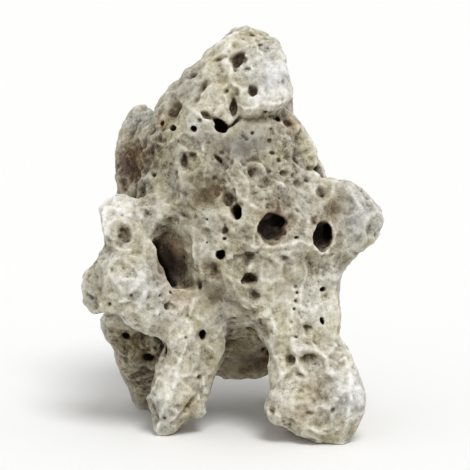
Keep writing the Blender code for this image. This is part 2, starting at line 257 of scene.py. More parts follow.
@dataclass
class Body:
    """The stone's form as a mesh, for sight lines and for places on its surface.

    Sight lines start this far before the zero point. A hollow's mouth is found from a ring of them outside its rim,
    at this share of its width. Only hits level with its middle, within this many millimetres, say which way it
    faces, and the sight line itself counts with them by the share facing.
    """

    corners: np.ndarray
    faces: np.ndarray
    tree: BVHTree
    before: float = 400.0
    ring: float = 0.62
    level: float = 6.0
    facing: float = 0.7

    @classmethod
    def of_node(cls, node: bpy.types.Object) -> "Body":
        """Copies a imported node, merges its loose triangles and rounds its facets by subdivision.

        Args:
            node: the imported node.

        Returns:
            The body, in millimetres.
        """
        same_corner = 0.01 * MM
        rounds = 2
        copy = bpy.data.objects.new("form", node.data.copy())
        bpy.context.scene.collection.objects.link(copy)
        weld = copy.modifiers.new("weld", "WELD")
        weld.merge_threshold = same_corner
        rounder = copy.modifiers.new("round", "SUBSURF")
        rounder.levels = rounds
        rounder.render_levels = rounds
        mesh = copy.evaluated_get(bpy.context.evaluated_depsgraph_get()).to_mesh()
        mesh.calc_loop_triangles()
        corners = np.empty(len(mesh.vertices) * 3, np.float32)
        mesh.vertices.foreach_get("co", corners)
        faces = np.empty(len(mesh.loop_triangles) * 3, np.int32)
        mesh.loop_triangles.foreach_get("vertices", faces)
        bpy.data.objects.remove(copy)
        corners = corners.reshape(-1, 3) / MM
        faces = faces.reshape(-1, 3)
        return cls(corners, faces, BVHTree.FromPolygons(corners.tolist(), faces.tolist()))

    def front_place(self, column: float, row: float) -> tuple[np.ndarray, np.ndarray] | None:
        """Where a pixel's sight line meets the stone, and the outward direction there, or None if it misses."""
        across, up = at_pixel(column, row)
        place, out, _, _ = self.tree.ray_cast(Vector(seen(across, up, -self.before)), Vector(SIGHT))
        return None if place is None else (np.array(place), np.array(out))

    def rim_of(self, hollow: Hollow, rays: int = 12) -> tuple[np.ndarray, np.ndarray] | None:
        """Finds a hollow's mouth from sight lines just outside its rim.

        Args:
            hollow: the hollow as seen.
            rays: how many sight lines are cast round it.

        Returns:
            The mouth's middle and the way in, or None where the lines miss the stone.
        """
        across, up = at_pixel(hollow.column, hollow.row)
        hits = []
        for turn in np.linspace(0.0, 2.0 * math.pi, rays, endpoint=False):
            column = hollow.column + self.ring * hollow.width * math.cos(turn)
            row = hollow.row + self.ring * hollow.height * math.sin(turn)
            found = self.front_place(column, row)
            if found is not None:
                hits.append((float(np.dot(found[0] - seen(across, up, 0.0), SIGHT)), found[1]))
        if not hits:
            return None
        middle = hollow.away if hollow.away is not None else float(np.median([away for away, _ in hits]))
        near = [out for away, out in hits if abs(away - middle) < self.level] or [-SIGHT]
        inwards = self.facing * SIGHT - np.mean(near, axis=0)
        inwards /= np.linalg.norm(inwards)
        inwards += hollow.rise * np.array([0.0, 0.0, 1.0]) + hollow.lean * np.array([1.0, 0.0, 0.0])
        return seen(across, up, middle), inwards / np.linalg.norm(inwards)


@dataclass
class Grid:
    """Distances to the stone's surface at the points of a cubic grid, in millimetres and negative inside.

    Three smooth noise fields bend whatever is carved, so that no hollow is round and no crest is straight, and a
    finer one makes walls ragged. Narrow hollows are bent by a share of their half width, and no hollow is bent or
    made ragged by more than so many millimetres.
    """

    step: float
    low: np.ndarray
    distance: np.ndarray
    bends: list[np.ndarray] = field(default_factory=list)
    ragged: np.ndarray | None = None
    bend_share: float = 0.45
    most_bend: float = 2.2
    most_ragged: float = 0.8

    @classmethod
    def of_body(cls, body: Body, step: float, reach: float) -> "Grid":
        """Samples a body.

        Args:
            body: the body.
            step: the grid's spacing in millimetres.
            reach: how far from the surface the distances are true.

        Returns:
            The grid.
        """
        transform = openvdb.createLinearTransform(voxelSize=step)
        volume = openvdb.FloatGrid.createLevelSetFromPolygons(
            body.corners.astype(np.float32),
            triangles=body.faces.astype(np.uint32),
            transform=transform,
            halfWidth=reach / step,
        )
        return cls.of_volume(volume, step)

    @classmethod
    def of_volume(cls, volume: openvdb.FloatGrid, step: float) -> "Grid":
        """Copies a sparse volume of distances, with a few grid points to spare on every side.

        Args:
            volume: the distances.
            step: its spacing in millimetres.

        Returns:
            The grid.
        """
        spare = 2
        first, last = volume.evalActiveVoxelBoundingBox()
        distance = np.zeros(tuple(np.array(last) - np.array(first) + 2 * spare + 1), np.float32)
        corner = tuple(int(c) - spare for c in first)
        volume.copyToArray(distance, ijk=corner)
        return cls(step, np.array(corner, np.float32) * step, distance)

    def window(self, place: np.ndarray, reach: float) -> tuple[tuple[slice, ...], list[np.ndarray]]:
        """The part of the grid within reach of a place.

        Args:
            place: the middle of the part.
            reach: half its side, in millimetres.

        Returns:
            Its slices, and its points' offsets from the place along X, Y and Z, ready to be combined.
        """
        slices = []
        offsets = []
        for axis in range(3):
            first = max(int((place[axis] - reach - self.low[axis]) / self.step), 0)
            last = min(int((place[axis] + reach - self.low[axis]) / self.step) + 2, self.distance.shape[axis])
            slices.append(slice(first, last))
            line = self.low[axis] + self.step * np.arange(first, last, dtype=np.float32) - np.float32(place[axis])
            offsets.append(line.reshape([-1 if axis == other else 1 for other in range(3)]))
        return tuple(slices), offsets

    def near_surface(self, reach: float) -> tuple[np.ndarray, np.ndarray]:
        """Indices and places of the grid's points within reach of the surface."""
        index = np.flatnonzero(np.abs(self.distance) < reach)
        places = np.stack(np.unravel_index(index, self.distance.shape), axis=1).astype(np.float32)
        return index, places * np.float32(self.step) + self.low

    def sample(self, values: np.ndarray, points: np.ndarray) -> np.ndarray:
        """Reads a field of this grid at any points, by blending the eight grid points round each.

        Args:
            values: the field.
            points: places in millimetres.

        Returns:
            One value to a point.
        """
        scaled = np.clip((points - self.low) / self.step, 0.0, np.array(values.shape) - 1.001)
        corner = scaled.astype(np.int32)
        part = scaled - corner
        total = np.zeros(len(points))
        for step in itertools.product((0, 1), repeat=3):
            share = np.prod(np.where(np.array(step) == 1, part, 1.0 - part), axis=1)
            total += share * values[corner[:, 0] + step[0], corner[:, 1] + step[1], corner[:, 2] + step[2]]
        return total

    def averaged(self, values: np.ndarray, radius: float, passes: int = 2) -> np.ndarray:
        """Averages a field over boxes of this radius, a few times over, which comes close to a bell-shaped mean.

        Args:
            values: the field.
            radius: half the box's side in millimetres.
            passes: how often it is averaged.

        Returns:
            The averaged field.
        """
        half = max(int(round(radius / self.step)), 1)
        for _ in range(passes):
            for axis in range(3):
                moved = np.moveaxis(values, axis, 0)
                padded = np.concatenate([moved[:1]] * (half + 1) + [moved] + [moved[-1:]] * half)
                running = np.cumsum(padded, axis=0, dtype=np.float32)
                values = np.moveaxis((running[2 * half + 1 :] - running[: -2 * half - 1]) / (2 * half + 1), 0, axis)
        return values

    def spread(self, noise: Noise, size: float, octaves: int) -> np.ndarray:
        """A smooth noise field over the whole grid, worked out on a coarser one and blended in between.

        Args:
            noise: the noise.
            size: the size of its largest waves in millimetres.
            octaves: how many sizes of waves it has.

        Returns:
            The field.
        """
        ratio = max(int(size / 2 ** (octaves - 1) / 2.0 / self.step), 1)
        counts = [count // ratio + 2 for count in self.distance.shape]
        corners = np.stack(np.meshgrid(*(np.arange(count) for count in counts), indexing="ij"), axis=-1)
        places = corners.reshape(-1, 3).astype(np.float32) * np.float32(ratio * self.step) + self.low
        values = noise.rough(places, size, octaves).reshape(counts)
        for axis, count in enumerate(self.distance.shape):
            line = np.arange(count) / ratio
            first = line.astype(int)
            share = (line - first).astype(np.float32).reshape([-1 if axis == other else 1 for other in range(3)])
            values = np.take(values, first, axis) * (1.0 - share) + np.take(values, first + 1, axis) * share
        return values

    def across(
        self, slices: tuple[slice, ...], offsets: list[np.ndarray], axes: np.ndarray, bend: float
    ) -> list[np.ndarray]:
        """A hollow's own coordinates of the points of a window, bent by the noise fields.

        Args:
            slices: the window.
            offsets: its points' offsets from the hollow's mouth.
            axes: rows of the hollow's own axes.
            bend: how far the noise moves them, in millimetres.

        Returns:
            One array to an axis.
        """
        found = []
        for axis, moved in zip(axes, self.bends):
            found.append(sum(axis[i] * offsets[i] for i in range(3)) + np.float32(bend) * moved[slices])
        return found

    def carve(
        self, place: np.ndarray, axes: np.ndarray, sizes: tuple[float, float, float], mouth: Mouth, raggedness: float
    ) -> None:
        """Takes out one hollow, or fills one down to its floor.

        The wall is where (b / half width)^2 + (c / half height)^2 + (a / depth)^power is one, with a the way in and
        b and c across it. Before the mouth, where a is negative, before takes depth's place. A dish only moves the
        skin inwards, by its depth times (1 - r^2)^2 with r^2 the same sum of b and c, and fades out where a is
        large. A floor fills all that lies beyond its depth inside the same outline.

        Args:
            place: the mouth's middle.
            axes: rows of the hollow's own b, c and a axes.
            sizes: half width, half height and depth.
            mouth: the kind of wall and rim.
            raggedness: how rough the wall is, as a share of the smaller half size.
        """
        reach = max(sizes) + 3.0
        slices, offsets = self.window(place, reach)
        narrow = min(sizes[0], sizes[1])
        along = self.across(slices, offsets, axes, min(self.bend_share * narrow, self.most_bend))
        flat = (along[0] / sizes[0]) ** 2 + (along[1] / sizes[1]) ** 2
        if mouth is Mouth.DISH:
            undimmed = 0.6 * max(sizes) + 1.0
            near = eased(reach, undimmed, np.abs(along[2]))
            self.distance[slices] += sizes[2] * np.maximum(1.0 - flat, 0.0) ** 2 * near
            return
        if mouth is Mouth.FLOOR:
            filled = np.maximum((np.sqrt(flat) - 1.0) * narrow, sizes[2] - along[2])
            self.distance[slices] = -blended_max(-self.distance[slices], -filled, mouth.rim)
            return
        before = 0.7 * sizes[2] + 1.0
        depth = np.where(along[2] > 0.0, along[2] / sizes[2], along[2] / before)
        level = flat + np.abs(depth) ** mouth.power
        rough = min(raggedness * narrow, self.most_ragged)
        wall = (np.sqrt(level) - 1.0) * narrow + self.ragged[slices] * rough
        self.distance[slices] = blended_max(self.distance[slices], -wall, mouth.rim)

    def raise_crest(self, line: np.ndarray, out: np.ndarray, width: np.ndarray, height: float) -> None:
        """Raises a narrow crest along a line on the surface.

        The skin moves out by height times (1 - t)^1.5, with t the distance from the line across the surface as a
        share of the crest's half width. It fades out where the skin lies far above or below the line, and the
        ragged noise makes it higher and lower by a share.

        Args:
            line: places along the crest's middle.
            out: the outward direction at each place.
            width: the crest's half width at each place.
            height: its height.
        """
        margin = 4.0
        undimmed = 3.0
        faded = 5.0
        uneven = 0.6
        middle = (line.min(axis=0) + line.max(axis=0)) / 2.0
        slices, offsets = self.window(middle, float(np.ptp(line, axis=0).max()) / 2.0 + margin)
        bent = [offsets[i] + middle[i] + np.float32(CREST_BEND) * self.bends[i][slices] for i in range(3)]
        lift = np.zeros(self.distance[slices].shape, np.float32)
        for start, end, up, half in zip(line[:-1], line[1:], out, width):
            run = end - start
            from_start = [bent[i] - start[i] for i in range(3)]
            share = np.clip(sum(run[i] * from_start[i] for i in range(3)) / float(run @ run), 0.0, 1.0)
            gap = [from_start[i] - share * run[i] for i in range(3)]
            above = sum(up[i] * gap[i] for i in range(3))
            beside = np.sqrt(np.maximum(sum(part**2 for part in gap) - above**2, 0.0)) / half
            shape = np.maximum(1.0 - beside, 0.0) ** 1.5 * eased(faded, undimmed, np.abs(above))
            lift = np.maximum(lift, shape)
        self.distance[slices] -= height * lift * (1.0 + uneven * self.ragged[slices])

    def surface(self) -> tuple[np.ndarray, np.ndarray]:
        """Reads the surface back as a closed mesh with its faces pointing out.

        Returns:
            Its corners in millimetres and its triangles.
        """
        volume = openvdb.FloatGrid(background=float(self.distance.max()))
        volume.transform = openvdb.createLinearTransform(voxelSize=self.step)
        corner = tuple(int(round(c / self.step)) for c in self.low)
        volume.copyFromArray(np.ascontiguousarray(self.distance), ijk=corner)
        corners, triangles, quads = volume.convertToPolygons(isovalue=0.0, adaptivity=0.0)
        faces = np.concatenate([triangles, quads[:, [0, 1, 2]], quads[:, [0, 2, 3]]]).astype(np.int64)
        first, second, third = (corners[faces[:, i]] for i in range(3))
        if np.sum(np.cross(first, second) * third) < 0.0:
            faces = faces[:, ::-1]
        return corners, faces


def depth_under_lid(corners: np.ndarray, faces: np.ndarray, points: np.ndarray, radius: float) -> np.ndarray:
    """How deep points lie under a lid that a ball of this radius, rolled all over the stone, would leave.

    The stone is swollen by the radius, which closes every hollow that the ball can't enter, and distances are
    measured back from the swollen skin.

    Args:
        corners: the stone's corners in millimetres.
        faces: its triangles.
        points: places in millimetres.
        radius: the ball's radius in millimetres.

    Returns:
        Depths in millimetres, zero wherever the ball touches.
    """
    step = 1.5
    margin = 3.0
    deepest = 34.0
    transform = openvdb.createLinearTransform(voxelSize=step)
    stone = openvdb.FloatGrid.createLevelSetFromPolygons(
        corners.astype(np.float32),
        triangles=faces.astype(np.uint32),
        transform=transform,
        halfWidth=(radius + margin) / step,
    )
    swollen, _, quads = stone.convertToPolygons(isovalue=radius, adaptivity=0.0)
    lid = openvdb.FloatGrid.createLevelSetFromPolygons(
        swollen, quads=quads, transform=transform, exBandWidth=margin, inBandWidth=(radius + deepest) / step
    )
    grid = Grid.of_volume(lid, step)
    return np.maximum(-grid.sample(grid.distance, points) - radius, 0.0)


def largest_piece(corners: np.ndarray, faces: np.ndarray) -> tuple[np.ndarray, np.ndarray]:
    """Keeps the largest connected piece of a mesh.

    Every corner takes the lowest number among its neighbours, again and again, until each piece shares one.

    Args:
        corners: the mesh's corners.
        faces: its triangles.

    Returns:
        The piece's corners and triangles.
    """
    number = np.arange(len(corners))
    while True:
        lowest = number[faces].min(axis=1)
        spread = number.copy()
        for column in range(3):
            np.minimum.at(spread, faces[:, column], lowest)
        spread = spread[spread]
        if np.array_equal(spread, number):
            break
        number = spread
    names, counts = np.unique(number[faces[:, 0]], return_counts=True)
    kept = number == names[np.argmax(counts)]
    faces = faces[kept[faces[:, 0]]]
    place = np.cumsum(kept) - 1
    return corners[kept], place[faces]


@dataclass
class Weathering:
    """What water and time did to the whole skin, from the broadest form to the finest.

    Sizes are in millimetres. Dishes are the large cells, and both sizes of cells sink to their depth within a wall's
    width. Fullness moves the whole skin out, to make up for what is sunk. Distances further from the surface than
    band aren't changed.

    A pit's width is narrowest + (wider + wider_behind * h) * u^rarity, with u drawn evenly from 0 to 1 and h from
    nothing where the skin faces the camera to one where it faces away. Its depth is its width times a share drawn
    from shallow to deep + deeper_behind * h, and its height its width times one drawn from the two of oval.
    """

    fullness: float = 0.7
    swell_size: float = 24.0
    swell_height: float = 1.2
    dish_size: float = 12.0
    dish_depth: float = 1.9
    dish_wall: float = 5.5
    crest_width: float = 1.3
    crest_height: float = 0.6
    vein_width: float = 1.1
    cell_size: float = 5.4
    cell_depth: float = 1.05
    cell_wall: float = 2.6
    pore_size: float = 3.0
    pore_depth: float = 0.9
    grit_size: float = 2.8
    grit_height: float = 0.5
    warp_size: float = 9.0
    warp: float = 2.2
    fine_warp: float = 0.4
    band: float = 3.8
    patch_size: float = 26.0
    pit_tries: int = 1500
    pit_patch: float = 20.0
    narrowest: float = 1.3
    wider: float = 1.0
    wider_behind: float = 4.2
    rarity: float = 3.2
    shallow: float = 0.4
    deep: float = 0.7
    deeper_behind: float = 0.9
    oval: tuple[float, float] = (0.6, 1.6)

    def patches(self, places: np.ndarray) -> np.ndarray:
        """How strongly each place is eaten into fine cells, from nothing to one."""
        return eased(-0.3, 0.4, Noise(Seed.EATEN).smooth(places, self.patch_size))

    def cells(self, places: np.ndarray) -> tuple[tuple[np.ndarray, np.ndarray], tuple[np.ndarray, np.ndarray]]:
        """The two sizes of cells, warped by smooth noise so that no wall is straight, the fine ones more.

        Args:
            places: points in millimetres.

        Returns:
            For the large cells and for the fine ones, the distance to the nearest wall and the cell's own number.
        """
        bend = np.stack([Noise(Seed.WARP + i).smooth(places, self.warp_size) for i in range(3)], axis=1)
        bent = places + np.float32(self.warp) * bend
        large = Noise(Seed.LARGE_CELLS).cells(bent, self.dish_size)
        return large, Noise(Seed.FINE_CELLS).cells(bent + self.fine_warp * bend, self.cell_size)

    def veins(self, places: np.ndarray) -> np.ndarray:
        """How much of a bleached vein runs through each place, along the walls between the cells.

        Veins round the fine cells are fainter, most of all outside of the eaten patches.

        Args:
            places: points in millimetres.

        Returns:
            One value to a point, from nothing to one.
        """
        fainter = 0.8
        (edge, _), (fine_edge, _) = self.cells(places)
        fine = eased(self.vein_width, 0.0, fine_edge) * (0.2 + 0.8 * self.patches(places))
        return np.maximum(eased(self.vein_width, 0.0, edge), fainter * fine)

    def relief(self, grid: Grid, coarse: Grid, calm: Callable[[np.ndarray], np.ndarray]) -> None:
        """Swells the form, then sinks two sizes of rounded cells into it and leaves their walls as thin ridges.

        A cell's depth is its own random share of the full depth, and rises from nothing at its wall to that depth
        one wall's width inwards. Fine cells and ridges are strong in the eaten patches and weak between them. Pores
        open where a finer noise is high, mostly between those patches. The broad forms are worked out on a coarser
        grid.

        Args:
            grid: the stone.
            coarse: the same stone on a coarser grid.
            calm: gives, for places in millimetres, the share by which the cells and pores are weaker there.
        """
        index, places = coarse.near_surface(self.band + 2.0 * coarse.step)
        patches = self.patches(places)
        restless = 1.0 - calm(places)
        (edge, own), (fine_edge, fine_own) = self.cells(places)
        dishes = restless * eased(0.0, self.dish_wall, edge) * (0.1 + 0.9 * own**1.3)
        crests = restless * eased(self.crest_width, 0.0, edge) * (0.3 + 0.7 * patches)
        cells = restless * eased(0.0, self.cell_wall, fine_edge) * fine_own**1.3 * (0.15 + 0.85 * patches)
        swell = Noise(Seed.SWELL).rough(places, self.swell_size, 3)
        broad = np.zeros(coarse.distance.shape, np.float32)
        broad.reshape(-1)[index] = (
            self.dish_depth * dishes
            + self.cell_depth * cells
            + self.swell_height * swell
            - self.crest_height * crests
            - self.fullness
        )
        porous = np.zeros(coarse.distance.shape, np.float32)
        porous.reshape(-1)[index] = restless * (1.0 - 0.6 * patches)
        index, places = grid.near_surface(self.band)
        pores = eased(0.30, 0.62, Noise(Seed.PORES).rough(places, self.pore_size, 2)) * coarse.sample(porous, places)
        grit = Noise(Seed.GRIT).rough(places, self.grit_size, 2, fade=0.6)
        change = coarse.sample(broad, places) + self.pore_depth * pores + self.grit_height * grit
        grid.distance.reshape(-1)[index] += change.astype(np.float32)

    def scatter(self, grid: Grid, body: Body) -> int:
        """Bores pits of many sizes into the surface, small ones far more often than large ones.

        The front has its own hollows, so its scattered ones are few, small and shallow. Pits crowd together where
        a slow noise is high, and keep clear of the soles.

        Args:
            grid: the stone.
            body: the form, for places on the surface and their outward directions.

        Returns:
            How many pits were made.
        """
        sole = 3.0
        tilt = 0.3
        raggedness = 0.6
        fewer_in_front = 0.25
        draw = np.random.default_rng(Seed.PITS)
        first, second, third = (body.corners[body.faces[:, i]] for i in range(3))
        out = np.cross(second - first, third - first)
        area = np.linalg.norm(out, axis=1)
        chosen = draw.choice(len(area), size=self.pit_tries, p=area / area.sum())
        places = (first + second + third)[chosen] / 3.0
        out = out[chosen] / area[chosen, None]
        crowding = Noise(Seed.CROWDING).rough(places.astype(np.float32), self.pit_patch, 2)
        behind = eased(-0.45, 0.1, out @ SIGHT)
        spread = self.wider + self.wider_behind * behind
        wide = self.narrowest + spread * draw.uniform(0.0, 1.0, len(places)) ** self.rarity
        kept = draw.uniform(-0.35, 0.75, len(places)) < crowding - fewer_in_front * (1.0 - behind)
        kept &= places[:, 2] > sole
        for place, outwards, width, hidden in zip(places[kept], out[kept], wide[kept], behind[kept]):
            inwards = -outwards + draw.normal(0.0, tilt, 3)
            depth = width * draw.uniform(self.shallow, self.deep + self.deeper_behind * hidden)
            sizes = (width / 2.0, width / 2.0 * draw.uniform(*self.oval), depth)
            grid.carve(place, own_axes(inwards, draw.uniform(0.0, 180.0)), sizes, Mouth.PIT, raggedness)
        return int(kept.sum())


def own_axes(inwards: np.ndarray, roll: float) -> np.ndarray:
    """Rows of a hollow's own axes: across, up and inwards, rolled by this many degrees about the way in."""
    steep = 0.9
    inwards = inwards / np.linalg.norm(inwards)
    helper = np.array([0.0, 0.0, 1.0]) if abs(inwards[2]) < steep else np.array([0.0, 1.0, 0.0])
    across = np.cross(inwards, helper)
    across /= np.linalg.norm(across)
    up = np.cross(across, inwards)
    turn = math.radians(roll)
    return np.stack([
        math.cos(turn) * across + math.sin(turn) * up,
        math.cos(turn) * up - math.sin(turn) * across,
        inwards,
    ])


@dataclass(frozen=True)
class Crest:
    """A thin raised line of the front: the pixels along it, its half width and its height in millimetres.

    Its width is ends + swell * sin(pi * t) times the full one, with t its share of the way along. Its line is made
    of pieces of about this spacing.
    """

    pixels: tuple[tuple[float, float], ...]
    width: float
    height: float
    spacing: float = 2.4
    ends: float = 0.55
    swell: float = 0.45

    def line_on(self, body: Body) -> tuple[np.ndarray, np.ndarray, np.ndarray]:
        """Where the crest runs on the form, thinning towards its two ends.

        Args:
            body: the form, for the sight lines.

        Returns:
            Places along its middle, the outward direction at each of them, and its half width there.
        """
        corners = np.array(self.pixels, float)
        lengths = np.linalg.norm(np.diff(corners, axis=0), axis=1)
        along = np.concatenate([[0.0], np.cumsum(lengths)])
        steps = np.linspace(0.0, along[-1], max(int(along[-1] / self.spacing), 2))
        columns = np.interp(steps, along, corners[:, 0])
        rows = np.interp(steps, along, corners[:, 1])
        found = list(filter(None, (body.front_place(column, row) for column, row in zip(columns, rows))))
        line = np.array([place for place, _ in found])
        share = np.linspace(0.0, 1.0, len(line))
        width = self.width * (self.ends + self.swell * np.sin(math.pi * share))
        return line, np.array([out for _, out in found]), width

    def raise_on(self, grid: Grid, body: Body) -> None:
        """Raises the crest on the stone's surface.

        Args:
            grid: the stone.
            body: the form, for the sight lines.
        """
        line, out, width = self.line_on(body)
        grid.raise_crest(line, out, width, self.height)

    def bleach(self, places: np.ndarray, body: Body) -> np.ndarray:
        """How much of the crest's pale colour each place has, in proportion to the crest's height.

        It is full close to the crest's middle, and fades to nothing a little outside its half width.

        Args:
            places: points in millimetres, bent as the crest is.
            body: the form, for the sight lines.

        Returns:
            A value for each place, from nothing to the crest's height.
        """
        margin = 4.0
        beyond = 1.0
        full = 0.3
        line, _, width = self.line_on(body)
        pale = np.zeros(len(places))
        inside = (places > line.min(axis=0) - margin) & (places < line.max(axis=0) + margin)
        near = np.flatnonzero(inside.all(axis=1))
        nearby = places[near]
        found = np.zeros(len(near))
        for start, end, half in zip(line[:-1], line[1:], width):
            run = end - start
            share = np.clip((nearby - start) @ run / float(run @ run), 0.0, 1.0)
            gap = np.linalg.norm(nearby - start - share[:, None] * run, axis=1)
            found = np.maximum(found, eased(beyond + half, full * half, gap))
        pale[near] = self.height * found
        return pale


@dataclass(frozen=True)
class Patch:
    """A soft round patch of the front: its middle's pixel, its radius in millimetres and its strength.

    Where its sight line would mislead, away gives its place behind the zero point.
    """

    column: float
    row: float
    radius: float
    amount: float
    away: float | None = None

    def place_on(self, body: Body) -> np.ndarray | None:
        """Where its middle lies, or None where its sight line misses the stone."""
        if self.away is not None:
            return seen(*at_pixel(self.column, self.row), self.away)
        found = body.front_place(self.column, self.row)
        return None if found is None else found[0]


@dataclass(frozen=True)
class HollowShade:
    """Painted shade in the hollows of the front, darker the deeper they are.

    It darkens by rate with each millimetre down to shallow, and by deep_rate over the next few millimetres. Its
    middle lies inwards of the mouth by the share sunk of the depth, which counts no more than deepest. From there
    it fades like a bell over spread times the sum of the mouth's width and height.
    """

    shallow: float = 4.0
    rate: float = 0.030
    further: float = 5.0
    deep_rate: float = 0.055
    sunk: float = 0.7
    deepest: float = 9.0
    spread: float = 0.27
    dish_spread: float = 0.35

    def thickness(self, hollow: Hollow) -> float:
        """How dark it is in a hollow, as a share of the scale of tone."""
        deep = min(max(hollow.depth - self.shallow, 0.0), self.further)
        return self.rate * min(hollow.depth, self.shallow) + self.deep_rate * deep

    def reach(self, hollow: Hollow) -> float:
        """How far it spreads from its middle, in millimetres."""
        share = self.dish_spread if hollow.mouth is Mouth.DISH else self.spread
        return share * (hollow.width + hollow.height)

    def inwards(self, hollow: Hollow) -> float:
        """How far its middle lies from the hollow's mouth, in millimetres."""
        return self.sunk * min(hollow.depth, self.deepest)


